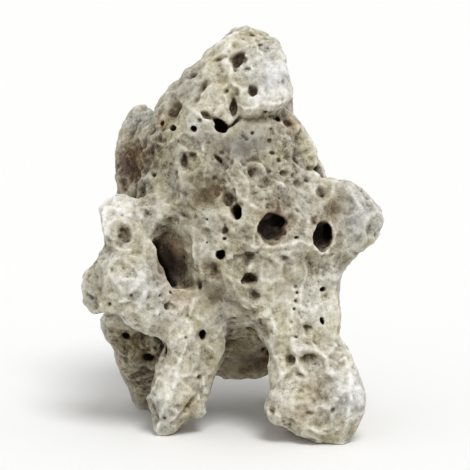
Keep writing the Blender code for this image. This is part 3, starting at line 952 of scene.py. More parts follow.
@dataclass
class Front:
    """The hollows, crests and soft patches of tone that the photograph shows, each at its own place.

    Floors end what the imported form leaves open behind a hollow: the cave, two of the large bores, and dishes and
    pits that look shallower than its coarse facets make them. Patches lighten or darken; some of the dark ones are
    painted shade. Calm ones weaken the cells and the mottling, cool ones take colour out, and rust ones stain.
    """

    hollow_shade: HollowShade = HollowShade()
    floors: tuple[Hollow, ...] = (
        Hollow(198.0, 290.0, 36.0, 44.0, 6.5, -14, Mouth.FLOOR, rise=0.1, lean=0.6, away=-21.0),
        Hollow(187.0, 288.5, 8.0, 24.0, 0.0, -24, Mouth.FLOOR, away=-24.0),
        Hollow(208.5, 288.0, 8.5, 34.0, 0.5, -6, Mouth.FLOOR, away=-19.5),
        Hollow(200.5, 306.0, 14.0, 9.0, 0.5, 0, Mouth.FLOOR, away=-22.5),
        Hollow(246.8, 273.4, 23.0, 23.0, 8.2, 0, Mouth.FLOOR),
        Hollow(272.2, 277.2, 16.0, 21.0, 8.4, 0, Mouth.FLOOR),
        Hollow(227.4, 211.0, 8.0, 14.0, 1.0, 8, Mouth.FLOOR),
        Hollow(236.9, 202.4, 9.0, 10.0, 2.0, 0, Mouth.FLOOR),
        Hollow(228.9, 187.5, 13.0, 13.0, 2.4, 0, Mouth.FLOOR),
        Hollow(232.5, 288.0, 20.0, 17.0, 0.8, 0, Mouth.FLOOR),
        Hollow(256.0, 296.4, 17.0, 16.0, 0.6, 0, Mouth.FLOOR),
        Hollow(225.5, 258.0, 12.0, 11.0, 1.6, -40, Mouth.FLOOR),
        Hollow(272.0, 255.2, 10.0, 11.0, 1.0, 0, Mouth.FLOOR),
        Hollow(223.0, 274.0, 9.0, 9.0, 1.2, 0, Mouth.FLOOR),
        Hollow(236.5, 306.4, 13.0, 13.0, 1.2, 0, Mouth.FLOOR),
        Hollow(215.0, 294.4, 17.0, 17.0, 1.4, 0, Mouth.FLOOR),
        Hollow(255.0, 338.0, 13.0, 13.0, 1.4, -20, Mouth.FLOOR),
        Hollow(172.4, 275.3, 13.0, 13.0, 1.6, 0, Mouth.FLOOR),
        Hollow(237.0, 244.9, 13.0, 12.0, 1.0, 0, Mouth.FLOOR),
        Hollow(207.0, 236.4, 9.0, 9.0, 1.4, 0, Mouth.FLOOR),
    )
    bores: tuple[Hollow, ...] = (
        Hollow(193.6, 291.0, 5.2, 25.0, 26, -21, Mouth.BORE, away=-21.0),
        Hollow(228.6, 264.0, 6.0, 8.5, 16, -20, Mouth.BORE, lean=0.1),
        Hollow(224.6, 257.6, 8.5, 8.0, 2.0, -40, Mouth.DISH),
        Hollow(246.8, 273.4, 14.5, 15.5, 9, 0, rise=0.35, lean=0.1),
        Hollow(248.8, 270.4, 8.5, 7.5, 22, 0, Mouth.BORE, rise=0.4, lean=0.2),
        Hollow(272.2, 277.2, 11.0, 14.0, 9, 8, rise=0.3, lean=0.1),
        Hollow(274.2, 275.2, 5.5, 10.0, 20, 5, Mouth.BORE, rise=0.3, lean=0.1),
        Hollow(221.3, 285.8, 5.4, 5.6, 14, 0, Mouth.BORE),
        Hollow(234.6, 298.3, 7.2, 6.4, 4.4, 0, rise=0.2),
    )
    head: tuple[Hollow, ...] = (
        Hollow(229.5, 187.0, 8.4, 5.6, 3.6, -12),
        Hollow(228.9, 189.2, 4.8, 5.0, 2.8, 0),
        Hollow(220.5, 186.6, 12.0, 4.0, 1.8, -12, Mouth.DISH),
        Hollow(222.4, 192.6, 4.0, 4.0, 0.8, 0, Mouth.DISH),
        Hollow(234.5, 192.4, 5.6, 2.8, 1.0, 8, Mouth.DISH),
        Hollow(237.0, 204.0, 4.2, 6.4, 2.8, -14),
        Hollow(243.5, 203.6, 3.0, 4.0, 0.9, 0, Mouth.DISH),
        Hollow(252.0, 199.0, 3.4, 3.4, 0.7, 0, Mouth.DISH),
        Hollow(236.2, 174.3, 6.0, 4.4, 1.4, 20, Mouth.DISH),
        Hollow(228.0, 179.2, 3.6, 5.0, 1.2, 0, Mouth.DISH),
        Hollow(227.0, 211.6, 4.0, 9.0, 2.8, 8),
        Hollow(242.6, 213.4, 6.0, 5.0, 1.6, 0, Mouth.DISH),
        Hollow(220.8, 220.8, 5.6, 9.6, 15, -35, Mouth.BORE),
        Hollow(228.3, 218.8, 1.8, 7.0, 3.0, 45),
        Hollow(229.6, 198.8, 6.0, 5.0, 1.4, 0, Mouth.DISH),
        Hollow(243.0, 196.0, 6.0, 6.0, 0.8, 0, Mouth.DISH),
    )
    left_slope: tuple[Hollow, ...] = (
        Hollow(205.6, 195.6, 6.5, 5.0, 2.0, 0, Mouth.DISH),
        Hollow(212.2, 201.0, 4.5, 9.0, 1.6, 20, Mouth.DISH),
        Hollow(208.6, 207.4, 4.5, 7.0, 1.3, 20, Mouth.DISH),
        Hollow(207.6, 222.5, 3.3, 3.6, 8, 0, Mouth.BORE),
        Hollow(213.6, 215.7, 6.5, 3.8, 2.4, 15),
        Hollow(210.4, 218.4, 2.0, 2.0, 1.2),
        Hollow(196.0, 215.6, 13.0, 8.0, 2.6, 20, Mouth.DISH),
        Hollow(196.8, 221.7, 4.6, 3.4, 6, 25, Mouth.BORE),
        Hollow(191.2, 219.3, 2.8, 2.8, 2.4),
        Hollow(191.4, 222.8, 3.4, 1.8, 1.6),
        Hollow(202.4, 238.2, 2.4, 6.4, 4, 0),
        Hollow(206.5, 235.7, 5.6, 4.6, 2.0, 0, Mouth.DISH),
        Hollow(186.7, 245.7, 3.2, 2.2, 1.8),
        Hollow(198.0, 245.0, 2.4, 2.4, 1.6),
        Hollow(220.0, 237.8, 2.2, 6.4, 3, -50),
        Hollow(203.0, 255.4, 4.0, 3.4, 1.2, 0, Mouth.DISH),
        Hollow(219.2, 256.4, 3.4, 3.0, 1.4, 0, Mouth.DISH),
        Hollow(208.6, 267.0, 3.6, 3.6, 1.4, 0, Mouth.DISH),
    )
    right_shoulder: tuple[Hollow, ...] = (
        Hollow(249.6, 217.3, 3.2, 3.2, 5, 0, Mouth.BORE),
        Hollow(254.8, 219.7, 8.0, 5.4, 1.8, 10, Mouth.DISH),
        Hollow(245.3, 228.1, 2.2, 2.2, 1.4),
        Hollow(237.6, 244.6, 9.0, 6.4, 1.5, 0, Mouth.DISH),
        Hollow(246.8, 234.5, 3.0, 2.2, 1.6),
        Hollow(250.1, 237.8, 2.2, 2.8, 1.6),
        Hollow(258.4, 237.7, 2.8, 2.2, 1.6),
        Hollow(251.6, 244.4, 2.8, 2.6, 1.6),
        Hollow(257.8, 246.0, 2.6, 2.4, 1.4),
        Hollow(266.3, 242.0, 3.4, 2.8, 1.8),
        Hollow(260.0, 250.0, 7.5, 5.4, 1.5, 0, Mouth.DISH),
        Hollow(272.2, 253.4, 6.0, 7.0, 2.0, 0, Mouth.DISH),
        Hollow(271.9, 256.0, 2.4, 2.2, 1.8),
        Hollow(267.4, 269.2, 5.5, 6.5, 1.4, 0, Mouth.DISH),
        Hollow(276.5, 262.5, 10.0, 12.0, 1.8, -15, Mouth.DISH),
        Hollow(258.8, 277.2, 2.8, 1.9, 3),
    )
    middle: tuple[Hollow, ...] = (
        Hollow(223.0, 274.0, 6.4, 5.6, 1.6, 0, Mouth.DISH),
        Hollow(223.0, 277.6, 2.4, 2.2, 1.8),
        Hollow(238.0, 306.0, 8.5, 7.4, 1.8, 0, Mouth.DISH),
        Hollow(235.0, 288.0, 9.0, 8.5, 1.8, 0, Mouth.DISH),
        Hollow(252.7, 287.7, 5.6, 5.0, 1.5, 20, Mouth.DISH),
        Hollow(217.0, 293.0, 11.0, 13.0, 1.9, 0, Mouth.DISH),
        Hollow(209.6, 301.4, 3.6, 7.0, 1.8, 0, Mouth.DISH),
        Hollow(218.0, 309.0, 9.0, 9.0, 1.4, 0, Mouth.DISH),
        Hollow(255.0, 296.0, 9.0, 9.0, 1.3, 0, Mouth.DISH),
        Hollow(249.0, 302.0, 6.0, 9.0, 1.0, 0, Mouth.DISH),
        Hollow(272.8, 303.8, 3.8, 2.8, 5, 0, Mouth.BORE),
        Hollow(271.8, 319.4, 2.4, 5.0, 6, -20, Mouth.BORE),
        Hollow(264.4, 323.1, 3.0, 4.2, 1.0, 0, Mouth.DISH),
        Hollow(258.4, 302.0, 1.8, 1.8, 1.0),
        Hollow(259.0, 305.0, 1.8, 2.0, 1.0),
        Hollow(258.3, 309.3, 1.8, 1.8, 1.0),
        Hollow(257.8, 313.4, 1.8, 1.8, 1.0),
        Hollow(227.6, 318.0, 2.0, 2.0, 1.0),
        Hollow(211.5, 326.2, 3.8, 6.4, 10, 5, Mouth.BORE),
    )
    feet: tuple[Hollow, ...] = (
        Hollow(243.0, 335.0, 4.0, 4.2, 4),
        Hollow(264.8, 338.0, 10.0, 5.6, 3.0, 0, Mouth.DISH, rise=0.6),
        Hollow(255.6, 338.4, 6.5, 7.0, 2.2, 0, Mouth.DISH),
        Hollow(265.2, 365.6, 5.4, 2.2, 1.4),
        Hollow(277.0, 364.2, 2.2, 3.0, 1.4),
        Hollow(261.4, 354.0, 3.0, 3.0, 0.8, 0, Mouth.DISH),
        Hollow(246.4, 364.0, 7.0, 5.0, 1.8, 10, Mouth.DISH),
        Hollow(210.0, 348.0, 2.6, 2.8, 1.6),
        Hollow(204.8, 362.6, 2.8, 18.0, 2.4, 42),
    )
    left_side: tuple[Hollow, ...] = (
        Hollow(172.2, 275.2, 11.0, 12.0, 1.8, 0, Mouth.DISH),
        Hollow(170.8, 273.8, 2.6, 2.2, 2.0),
        Hollow(173.7, 278.5, 3.0, 2.4, 2.0),
        Hollow(176.2, 306.4, 2.2, 2.2, 1.6),
        Hollow(165.0, 310.7, 2.0, 2.0, 1.4),
        Hollow(193.3, 312.0, 3.0, 4.0, 1.8),
        Hollow(172.0, 327.6, 4.6, 3.8, 7, 0, Mouth.BORE),
        Hollow(183.3, 338.9, 6.2, 4.8, 9, 0, Mouth.BORE),
        Hollow(192.2, 334.4, 2.8, 6.4, 5, 0),
    )
    crests: tuple[Crest, ...] = (
        Crest(((233, 185), (230, 190), (228.8, 194), (230.5, 198), (226, 203), (223.5, 208)), 2.2, 1.2),
        Crest(((229, 208.5), (231.5, 211.8), (236, 212.6), (240, 210.6), (244.8, 208.8), (248.5, 210), (253.5, 208)),
              1.6, 0.8),
        Crest(((231, 192), (234.5, 190.2), (238, 192), (235, 195), (231, 193.5)), 1.3, 0.7),
        Crest(((233, 199.5), (237, 198.8), (240, 202), (239.5, 206), (235.5, 207.5)), 1.5, 0.9),
        Crest(((227, 183), (232, 181), (238, 180), (243, 177.5)), 1.4, 0.7),
        Crest(((234, 171.5), (240, 175), (247, 176), (250, 178)), 1.6, 0.6),
        Crest(((212, 186), (219, 180.5), (226, 175), (232, 172)), 2.0, 0.9),
        Crest(((199, 206), (203, 211), (208, 214), (215, 219)), 1.5, 0.8),
        Crest(((215, 204), (214, 210), (218, 215)), 1.2, 0.6),
        Crest(((186, 228), (192, 231), (198, 228), (203, 224), (210, 227), (212, 233)), 1.5, 0.8),
        Crest(((222, 206), (224, 213), (225, 218), (222, 227)), 1.4, 0.8),
        Crest(((199, 229), (203, 233), (209, 234), (212, 239)), 1.2, 0.7),
        Crest(((223, 247), (227, 253), (231, 258), (236, 261.5), (241, 264)), 1.5, 0.9),
        Crest(((233, 214), (230, 224), (226, 236), (223, 247)), 1.3, 0.5),
        Crest(((239, 244), (247, 249), (257, 253), (266, 255), (272, 250)), 1.3, 0.6),
        Crest(((262, 232), (266, 240), (270, 247)), 1.2, 0.5),
        Crest(((246, 222), (252, 228), (260, 231)), 1.1, 0.4),
        Crest(((232, 279), (238, 282), (245, 282), (254, 281), (262, 278.5), (266, 281), (272, 286)), 1.5, 1.0),
        Crest(((276, 269), (279, 275), (278, 281), (273, 285.5), (267, 283)), 1.2, 0.8),
        Crest(((227, 287), (226, 296), (228, 304), (233, 309), (239, 313)), 1.2, 0.7),
        Crest(((254, 284), (258, 291), (262, 298), (261, 308), (261, 318), (263, 330)), 1.2, 0.8),
        Crest(((242, 290), (241, 298), (244, 306)), 1.0, 0.5),
        Crest(((207.5, 272), (208, 286), (208.5, 300), (207, 312), (203, 322)), 1.8, 1.0),
        Crest(((208, 270), (216, 272), (224, 278), (232, 279)), 1.2, 0.6),
        Crest(((222, 292), (224, 303), (222, 312), (226, 322)), 1.1, 0.4),
        Crest(((184, 278), (187, 284), (191, 291), (194.5, 298), (196, 304), (193, 310)), 1.4, 0.9),
        Crest(((175, 266), (168, 267), (163, 272), (163.5, 279), (169, 284), (176, 283.5)), 2.0, 0.9),
        Crest(((246, 326), (248, 336), (252, 347), (257, 341), (260, 334), (266, 333), (272, 337), (279, 341),
               (286, 336)), 1.5, 1.0),
        Crest(((252, 347), (247, 352)), 1.4, 0.7),
        Crest(((284, 338), (286, 350), (286, 362), (283, 372)), 1.9, 0.8),
        Crest(((242, 362), (250, 366), (256, 372), (266, 373), (274, 376), (283, 372)), 1.6, 0.8),
        Crest(((203, 331), (199.5, 342), (197, 352), (192, 364), (188.5, 375)), 2.0, 1.4),
        Crest(((212, 350), (209, 358), (203, 364), (196, 370)), 1.4, 0.9),
        Crest(((156, 308), (162, 312), (168, 311), (172, 308), (178, 310)), 1.4, 0.7),
        Crest(((196, 309), (202, 314), (206, 322), (204, 331)), 1.3, 0.6),
    )
    patches: tuple[Patch, ...] = (
        Patch(247, 193, 13, 0.24),
        Patch(240, 208, 6, 0.16),
        Patch(250, 206, 6, 0.12),
        Patch(255, 220, 4, -0.12),
        Patch(224, 180, 7, 0.14),
        Patch(219, 193, 7, 0.04),
        Patch(204, 206, 9, -0.10),
        Patch(190, 232, 14, -0.18),
        Patch(230, 232, 14, -0.15),
        Patch(257, 232, 12, -0.12),
        Patch(212, 254, 13, -0.26),
        Patch(247, 255, 14, -0.12),
        Patch(259, 273, 8, -0.03),
        Patch(276, 262, 8, -0.08),
        Patch(294, 264, 11, -0.07),
        Patch(165, 266, 10, 0.26),
        Patch(170, 299, 14, 0.14),
        Patch(220, 306, 10, -0.09),
        Patch(250, 294, 9, 0.22),
        Patch(270, 308, 14, 0.10),
        Patch(253, 315, 12, 0.12),
        Patch(286, 350, 11, 0.16),
        Patch(258, 352, 12, 0.12),
        Patch(199, 350, 12, 0.18),
        Patch(190, 358, 7, 0.12),
        Patch(203, 320, 10, 0.16),
        # painted shade in the belly's recess, under the flap, on the hind leg and on the rear shoulder
        Patch(233, 345, 13, -0.12),
        Patch(176, 330, 12, -0.28),
        Patch(180, 350, 10, -0.09),
        Patch(174, 240, 12, -0.40),
        Patch(180, 218, 9, -0.06),
        # painted shade on the shaded sides of two small hollows of the head
        Patch(229.3, 187.2, 3.5, -0.10),
        Patch(231.4, 186.4, 2.0, -0.30),
        Patch(236.6, 203.6, 2.6, -0.10),
        Patch(237.8, 205.2, 1.6, -0.25),
        # painted shade in the shin's groove, low in the belly's recess, in the neck's slot and in the cave
        Patch(205, 362.5, 4, -0.08),
        Patch(232, 351, 7, -0.10),
        Patch(227.0, 210, 3, -0.10),
        Patch(198, 286, 9, -0.09, away=-13.0),
        Patch(202, 293, 5, -0.10, away=-15.0),
    )
    calm: tuple[Patch, ...] = (
        Patch(204, 206, 10, 0.45),
        Patch(232, 228, 13, 0.70),
        Patch(211, 255, 11, 0.50),
        Patch(280, 262, 8, 0.45),
        Patch(219, 308, 11, 0.60),
        Patch(251, 300, 10, 0.35),
        Patch(232, 338, 16, 0.65),
        Patch(199, 284, 12, 0.6, away=-14.0),
    )
    cool: tuple[Patch, ...] = (
        Patch(248, 192, 13, 1.0),
        Patch(296, 264, 12, 0.9),
        Patch(289, 277, 8, 0.7),
        Patch(180, 301, 12, 0.7),
        Patch(162, 264, 8, 0.7),
        Patch(226, 230, 10, 0.5),
        Patch(240, 218, 8, 0.4),
        Patch(288, 356, 12, 1.0),
        Patch(268, 300, 12, 0.4),
        Patch(190, 366, 8, 0.5),
        Patch(181, 216, 9, 0.7),
    )
    rust: tuple[Patch, ...] = (
        Patch(255.5, 219.6, 4.5, 0.40),
        Patch(244, 339.5, 4.0, 0.8),
        Patch(236.6, 299.6, 2.6, 0.7),
        Patch(202, 308, 8.0, 0.30),
        Patch(176, 239, 10.0, 0.75),
        Patch(191, 220, 3.0, 0.6),
        Patch(229.5, 187, 4.0, 0.45),
        Patch(237.2, 204, 3.0, 0.45),
        Patch(227.0, 210, 3.0, 0.30),
        Patch(205, 345, 14.0, 0.10),
        Patch(233, 342, 12.0, 0.20),
        Patch(181, 350, 10.0, 0.20),
        Patch(198, 284, 9.0, 0.35, away=-13.0),
        Patch(262, 366, 8.0, 0.2),
        Patch(266, 352, 9.0, 0.15),
    )

    def hollows(self) -> Iterator[Hollow]:
        """Every hollow of the front but its floors, one after the other."""
        fronts = (self.bores, self.head, self.left_slope, self.right_shoulder, self.middle)
        return itertools.chain(*fronts, self.feet, self.left_side)

    def carve(self, grid: Grid, body: Body) -> None:
        """Raises every crest, lays every floor and carves every hollow, where their sight lines meet the stone.

        Args:
            grid: the stone.
            body: the form, for the sight lines.
        """
        raggedness = 0.3
        for crest in self.crests:
            crest.raise_on(grid, body)
        for hollow in itertools.chain(self.floors, self.hollows()):
            found = body.rim_of(hollow)
            if found is None:
                log.warning("no stone at pixel %.0f, %.0f", hollow.column, hollow.row)
                continue
            place, inwards = found
            sizes = (hollow.width / 2.0, hollow.height / 2.0, hollow.depth)
            grid.carve(place, own_axes(inwards, -hollow.roll), sizes, hollow.mouth, raggedness)

    def painted_hollow_shade(self, body: Body, points: np.ndarray) -> np.ndarray:
        """How much shade is painted into the hollows, darker the deeper they are.

        Args:
            body: the form, for their places.
            points: places in millimetres.

        Returns:
            One value to a point.
        """
        total = np.zeros(len(points))
        for hollow in self.hollows():
            found = body.rim_of(hollow)
            if found is not None:
                gap = np.sum((points - found[0] - self.hollow_shade.inwards(hollow) * found[1]) ** 2, axis=1)
                total += self.hollow_shade.thickness(hollow) * np.exp(-gap / self.hollow_shade.reach(hollow) ** 2)
        return total

    def stain(self, patches: tuple[Patch, ...], body: Body, points: np.ndarray) -> np.ndarray:
        """The sum of soft round patches: each is its amount at its middle and fades like a bell with its radius.

        Args:
            patches: the patches.
            body: the form, for their places.
            points: places in millimetres.

        Returns:
            One value to a point.
        """
        total = np.zeros(len(points))
        for patch in patches:
            middle = patch.place_on(body)
            if middle is not None:
                gap = np.sum((points - middle) ** 2, axis=1)
                total += patch.amount * np.exp(-gap / patch.radius**2)
        return total


def linear(text: str) -> tuple[float, float, float, float]:
    """The linear colour of an sRGB hex value such as E4DFD3, by the standard's own curve."""
    shares = [int(text[i : i + 2], 16) / 255.0 for i in (0, 2, 4)]
    return (*(s / 12.92 if s <= 0.04045 else ((s + 0.055) / 1.055) ** 2.4 for s in shares), 1.0)


def add_node(tree: bpy.types.NodeTree, kind: str, inputs: dict, **settings) -> bpy.types.Node:
    """Adds a node to a material.

    Args:
        tree: the material's node tree.
        kind: the node's type name, without the part that all shader nodes share.
        inputs: its sockets by name or number, each a value, or another node's output that is linked to it.
        settings: its properties.

    Returns:
        The node.
    """
    node = tree.nodes.new("ShaderNode" + kind)
    for name, value in settings.items():
        setattr(node, name, value)
    for key, value in inputs.items():
        if isinstance(value, bpy.types.NodeSocket):
            tree.links.new(value, node.inputs[key])
        else:
            node.inputs[key].default_value = value
    return node


@dataclass(frozen=True)
class WeatheredLimestone:
    """Limestone that water and boring shells ate into, dried and brushed.

    It is dull and chalky, so its roughness is high and nothing shines. Worn crests are nearly white, flat skin is
    cream and grey in soft patches, dishes are tan and the deep bores dark brown, both with shade painted into them.
    All of these lie on one scale of tone, from the darkest at 0 to the whitest at 1, which the skin carries as an
    attribute.

    Layers are the noises that mottle it: the size of their largest waves in millimetres, their detail, and how far
    they move the tone. Each finer size of waves is weaker by fading. A pore is darkest inside the second of its
    rim's two shares of the pore size, and pores come where a slow noise passes from the first to the second of
    pored. Warmth is the saturation where the skin isn't bleached and where it is. The other sizes are in
    millimetres.
    """

    tones: tuple[tuple[float, str], ...] = (
        (0.00, "120C07"),
        (0.14, "3C2F1B"),
        (0.30, "6F634A"),
        (0.46, "9C947B"),
        (0.62, "BDB7A0"),
        (0.80, "DBD7C6"),
        (1.00, "F4F2EA"),
    )
    layers: tuple[tuple[float, float, float], ...] = (
        (7.0, 3.0, 0.34),
        (2.6, 3.0, 0.50),
        (1.1, 2.0, 0.34),
    )
    fading: float = 0.6
    pore_size: float = 1.5
    pore_rim: tuple[float, float] = (0.34, 0.18)
    pore_patch: float = 9.0
    pored: tuple[float, float] = (0.48, 0.60)
    pore_tone: float = -0.14
    bleached_patch: float = 15.0
    bleached: tuple[float, float] = (0.35, 0.65)
    warmth: tuple[float, float] = (1.05, 0.65)
    cooling: float = -0.60
    rust: str = "D9A886"
    roughness: float = 0.93
    grain_size: float = 0.8
    grain_height: float = 0.3
    grain_strength: float = 0.7

    def material(self) -> bpy.types.Material:
        """Builds the material, on Object coordinates and on the attributes of the skin.

        Each layer of noise moves the tone up and down where the skin is restless, and small pores lower it. The tone
        picks the colour. A slow noise and the cool mark then take saturation out of it, and the rust mark stains it.
        """
        made = bpy.data.materials.new("weathered_limestone")
        made.use_nodes = True
        tree = made.node_tree
        tree.nodes.clear()
        space = add_node(tree, "TexCoord", {}).outputs["Object"]
        tone, rusty, cool, restless = (
            add_node(tree, "Attribute", {}, attribute_name=name).outputs["Fac"]
            for name in ("tone", "rust", "cool", "restless")
        )
        for size, detail, strength in self.layers:
            waves = {"Vector": space, "Scale": 1.0 / (size * MM), "Detail": detail, "Roughness": self.fading}
            noise = add_node(tree, "TexNoise", waves).outputs["Fac"]
            centring = {0: noise, 1: strength, 2: -strength / 2.0}
            centred = add_node(tree, "Math", centring, operation="MULTIPLY_ADD").outputs[0]
            tone = add_node(tree, "Math", {0: centred, 1: restless, 2: tone}, operation="MULTIPLY_ADD").outputs[0]
        cells = add_node(tree, "TexVoronoi", {"Vector": space, "Scale": 1.0 / (self.pore_size * MM)})
        patches = add_node(tree, "TexNoise", {"Vector": space, "Scale": 1.0 / (self.pore_patch * MM), "Detail": 2.0})
        rim = {"Value": cells.outputs["Distance"], "From Min": self.pore_rim[0], "From Max": self.pore_rim[1]}
        small = add_node(tree, "MapRange", rim).outputs[0]
        where = {"Value": patches.outputs["Fac"], "From Min": self.pored[0], "From Max": self.pored[1]}
        there = add_node(tree, "MapRange", where).outputs[0]
        pores = add_node(tree, "Math", {0: small, 1: there}, operation="MULTIPLY").outputs[0]
        tone = add_node(tree, "Math", {0: pores, 1: self.pore_tone, 2: tone}, operation="MULTIPLY_ADD").outputs[0]
        ramp = add_node(tree, "ValToRGB", {"Fac": tone})
        self.lay_tones(ramp.color_ramp)
        slow = {"Vector": space, "Scale": 1.0 / (self.bleached_patch * MM), "Detail": 3.0}
        bleaching = {
            "Value": add_node(tree, "TexNoise", slow).outputs["Fac"],
            "From Min": self.bleached[0],
            "From Max": self.bleached[1],
            "To Min": self.warmth[0],
            "To Max": self.warmth[1],
        }
        warm = add_node(tree, "MapRange", bleaching).outputs[0]
        cooling = add_node(tree, "Math", {0: cool, 1: self.cooling, 2: warm}, operation="MULTIPLY_ADD")
        dulled = {"Saturation": cooling.outputs[0], "Color": ramp.outputs["Color"]}
        cooled = add_node(tree, "HueSaturation", dulled)
        colours = {0: rusty, 6: cooled.outputs["Color"], 7: linear(self.rust)}
        stained = add_node(tree, "Mix", colours, data_type="RGBA", blend_type="MULTIPLY").outputs[2]
        grain = add_node(tree, "TexNoise", {"Vector": space, "Scale": 1.0 / (self.grain_size * MM), "Detail": 3.0})
        height = add_node(tree, "Math", {0: grain.outputs["Fac"], 1: pores}, operation="SUBTRACT").outputs[0]
        grained = {"Strength": self.grain_strength, "Distance": self.grain_height * MM, "Height": height}
        bump = add_node(tree, "Bump", grained).outputs[0]
        dressed = {"Base Color": stained, "Roughness": self.roughness, "Normal": bump}
        shader = add_node(tree, "BsdfPrincipled", dressed)
        add_node(tree, "OutputMaterial", {"Surface": shader.outputs[0]})
        return made

    def lay_tones(self, ramp: bpy.types.ColorRamp) -> None:
        """Sets a ramp's stops to the scale of tone."""
        for stop, (place, text) in zip(ramp.elements, (self.tones[0], self.tones[-1])):
            stop.position = place
            stop.color = linear(text)
        for place, text in self.tones[1:-1]:
            ramp.elements.new(place).color = linear(text)


@dataclass(frozen=True)
class Lid:
    """How much shade is painted on a place under a lid over hollows: the radius in millimetres of its ball, and its
    rows.

    A row is a slope, a start and a length: from start millimetres under the lid, each millimetre darkens by the
    slope, for length millimetres.
    """

    radius: float
    rows: tuple[tuple[float, float, float], ...]


@dataclass(frozen=True)
class Shading:
    """What makes a place of the skin lighter or darker, on the scale of tone.

    Each value is the share of the scale by which its cause moves the tone. Crests and veins are broken up by the
    ragged noise, from broken's first value where it is nought, by the second, and no further than the third. No
    place is darker than darkest, which itself falls by its row under the narrow lid, and under the painted shade in
    the front's hollows.
    """

    base: float = 0.495
    cloud: float = 0.14
    cloud_size: float = 34.0
    # painted light from above: faces that turn up are lighter and faces that turn down darker
    painted_light_from_above: float = 0.07
    crest: float = 0.13
    vein: float = 0.12
    # painted shade in hollows, and a paler tone on edges, from the stone round a place at two radii
    fine_radius: float = 1.2
    fine: float = 0.85
    mid_radius: float = 3.0
    mid: float = 0.55
    broken: tuple[float, float, float] = (0.6, 1.2, 1.3)
    # painted shade, by depth under a lid over narrow hollows and under one over wide ones
    narrow_lid: Lid = Lid(6.0, ((0.018, 0.0, 5.0), (0.040, 5.0, 8.0)))
    wide_lid: Lid = Lid(17.0, ((0.009, 2.0, 12.0), (0.050, 16.0, 6.0)))
    darkest: float = 0.20
    darkest_row: tuple[float, float, float] = (0.02, 7.0, 9.0)
    # how far the painted shade in the front's hollows lowers the darkest tone, and how much brown it adds
    darkest_hollow_shade: float = 0.6
    hollow_shade_rust: float = 2.2
    most_rust: float = 0.8


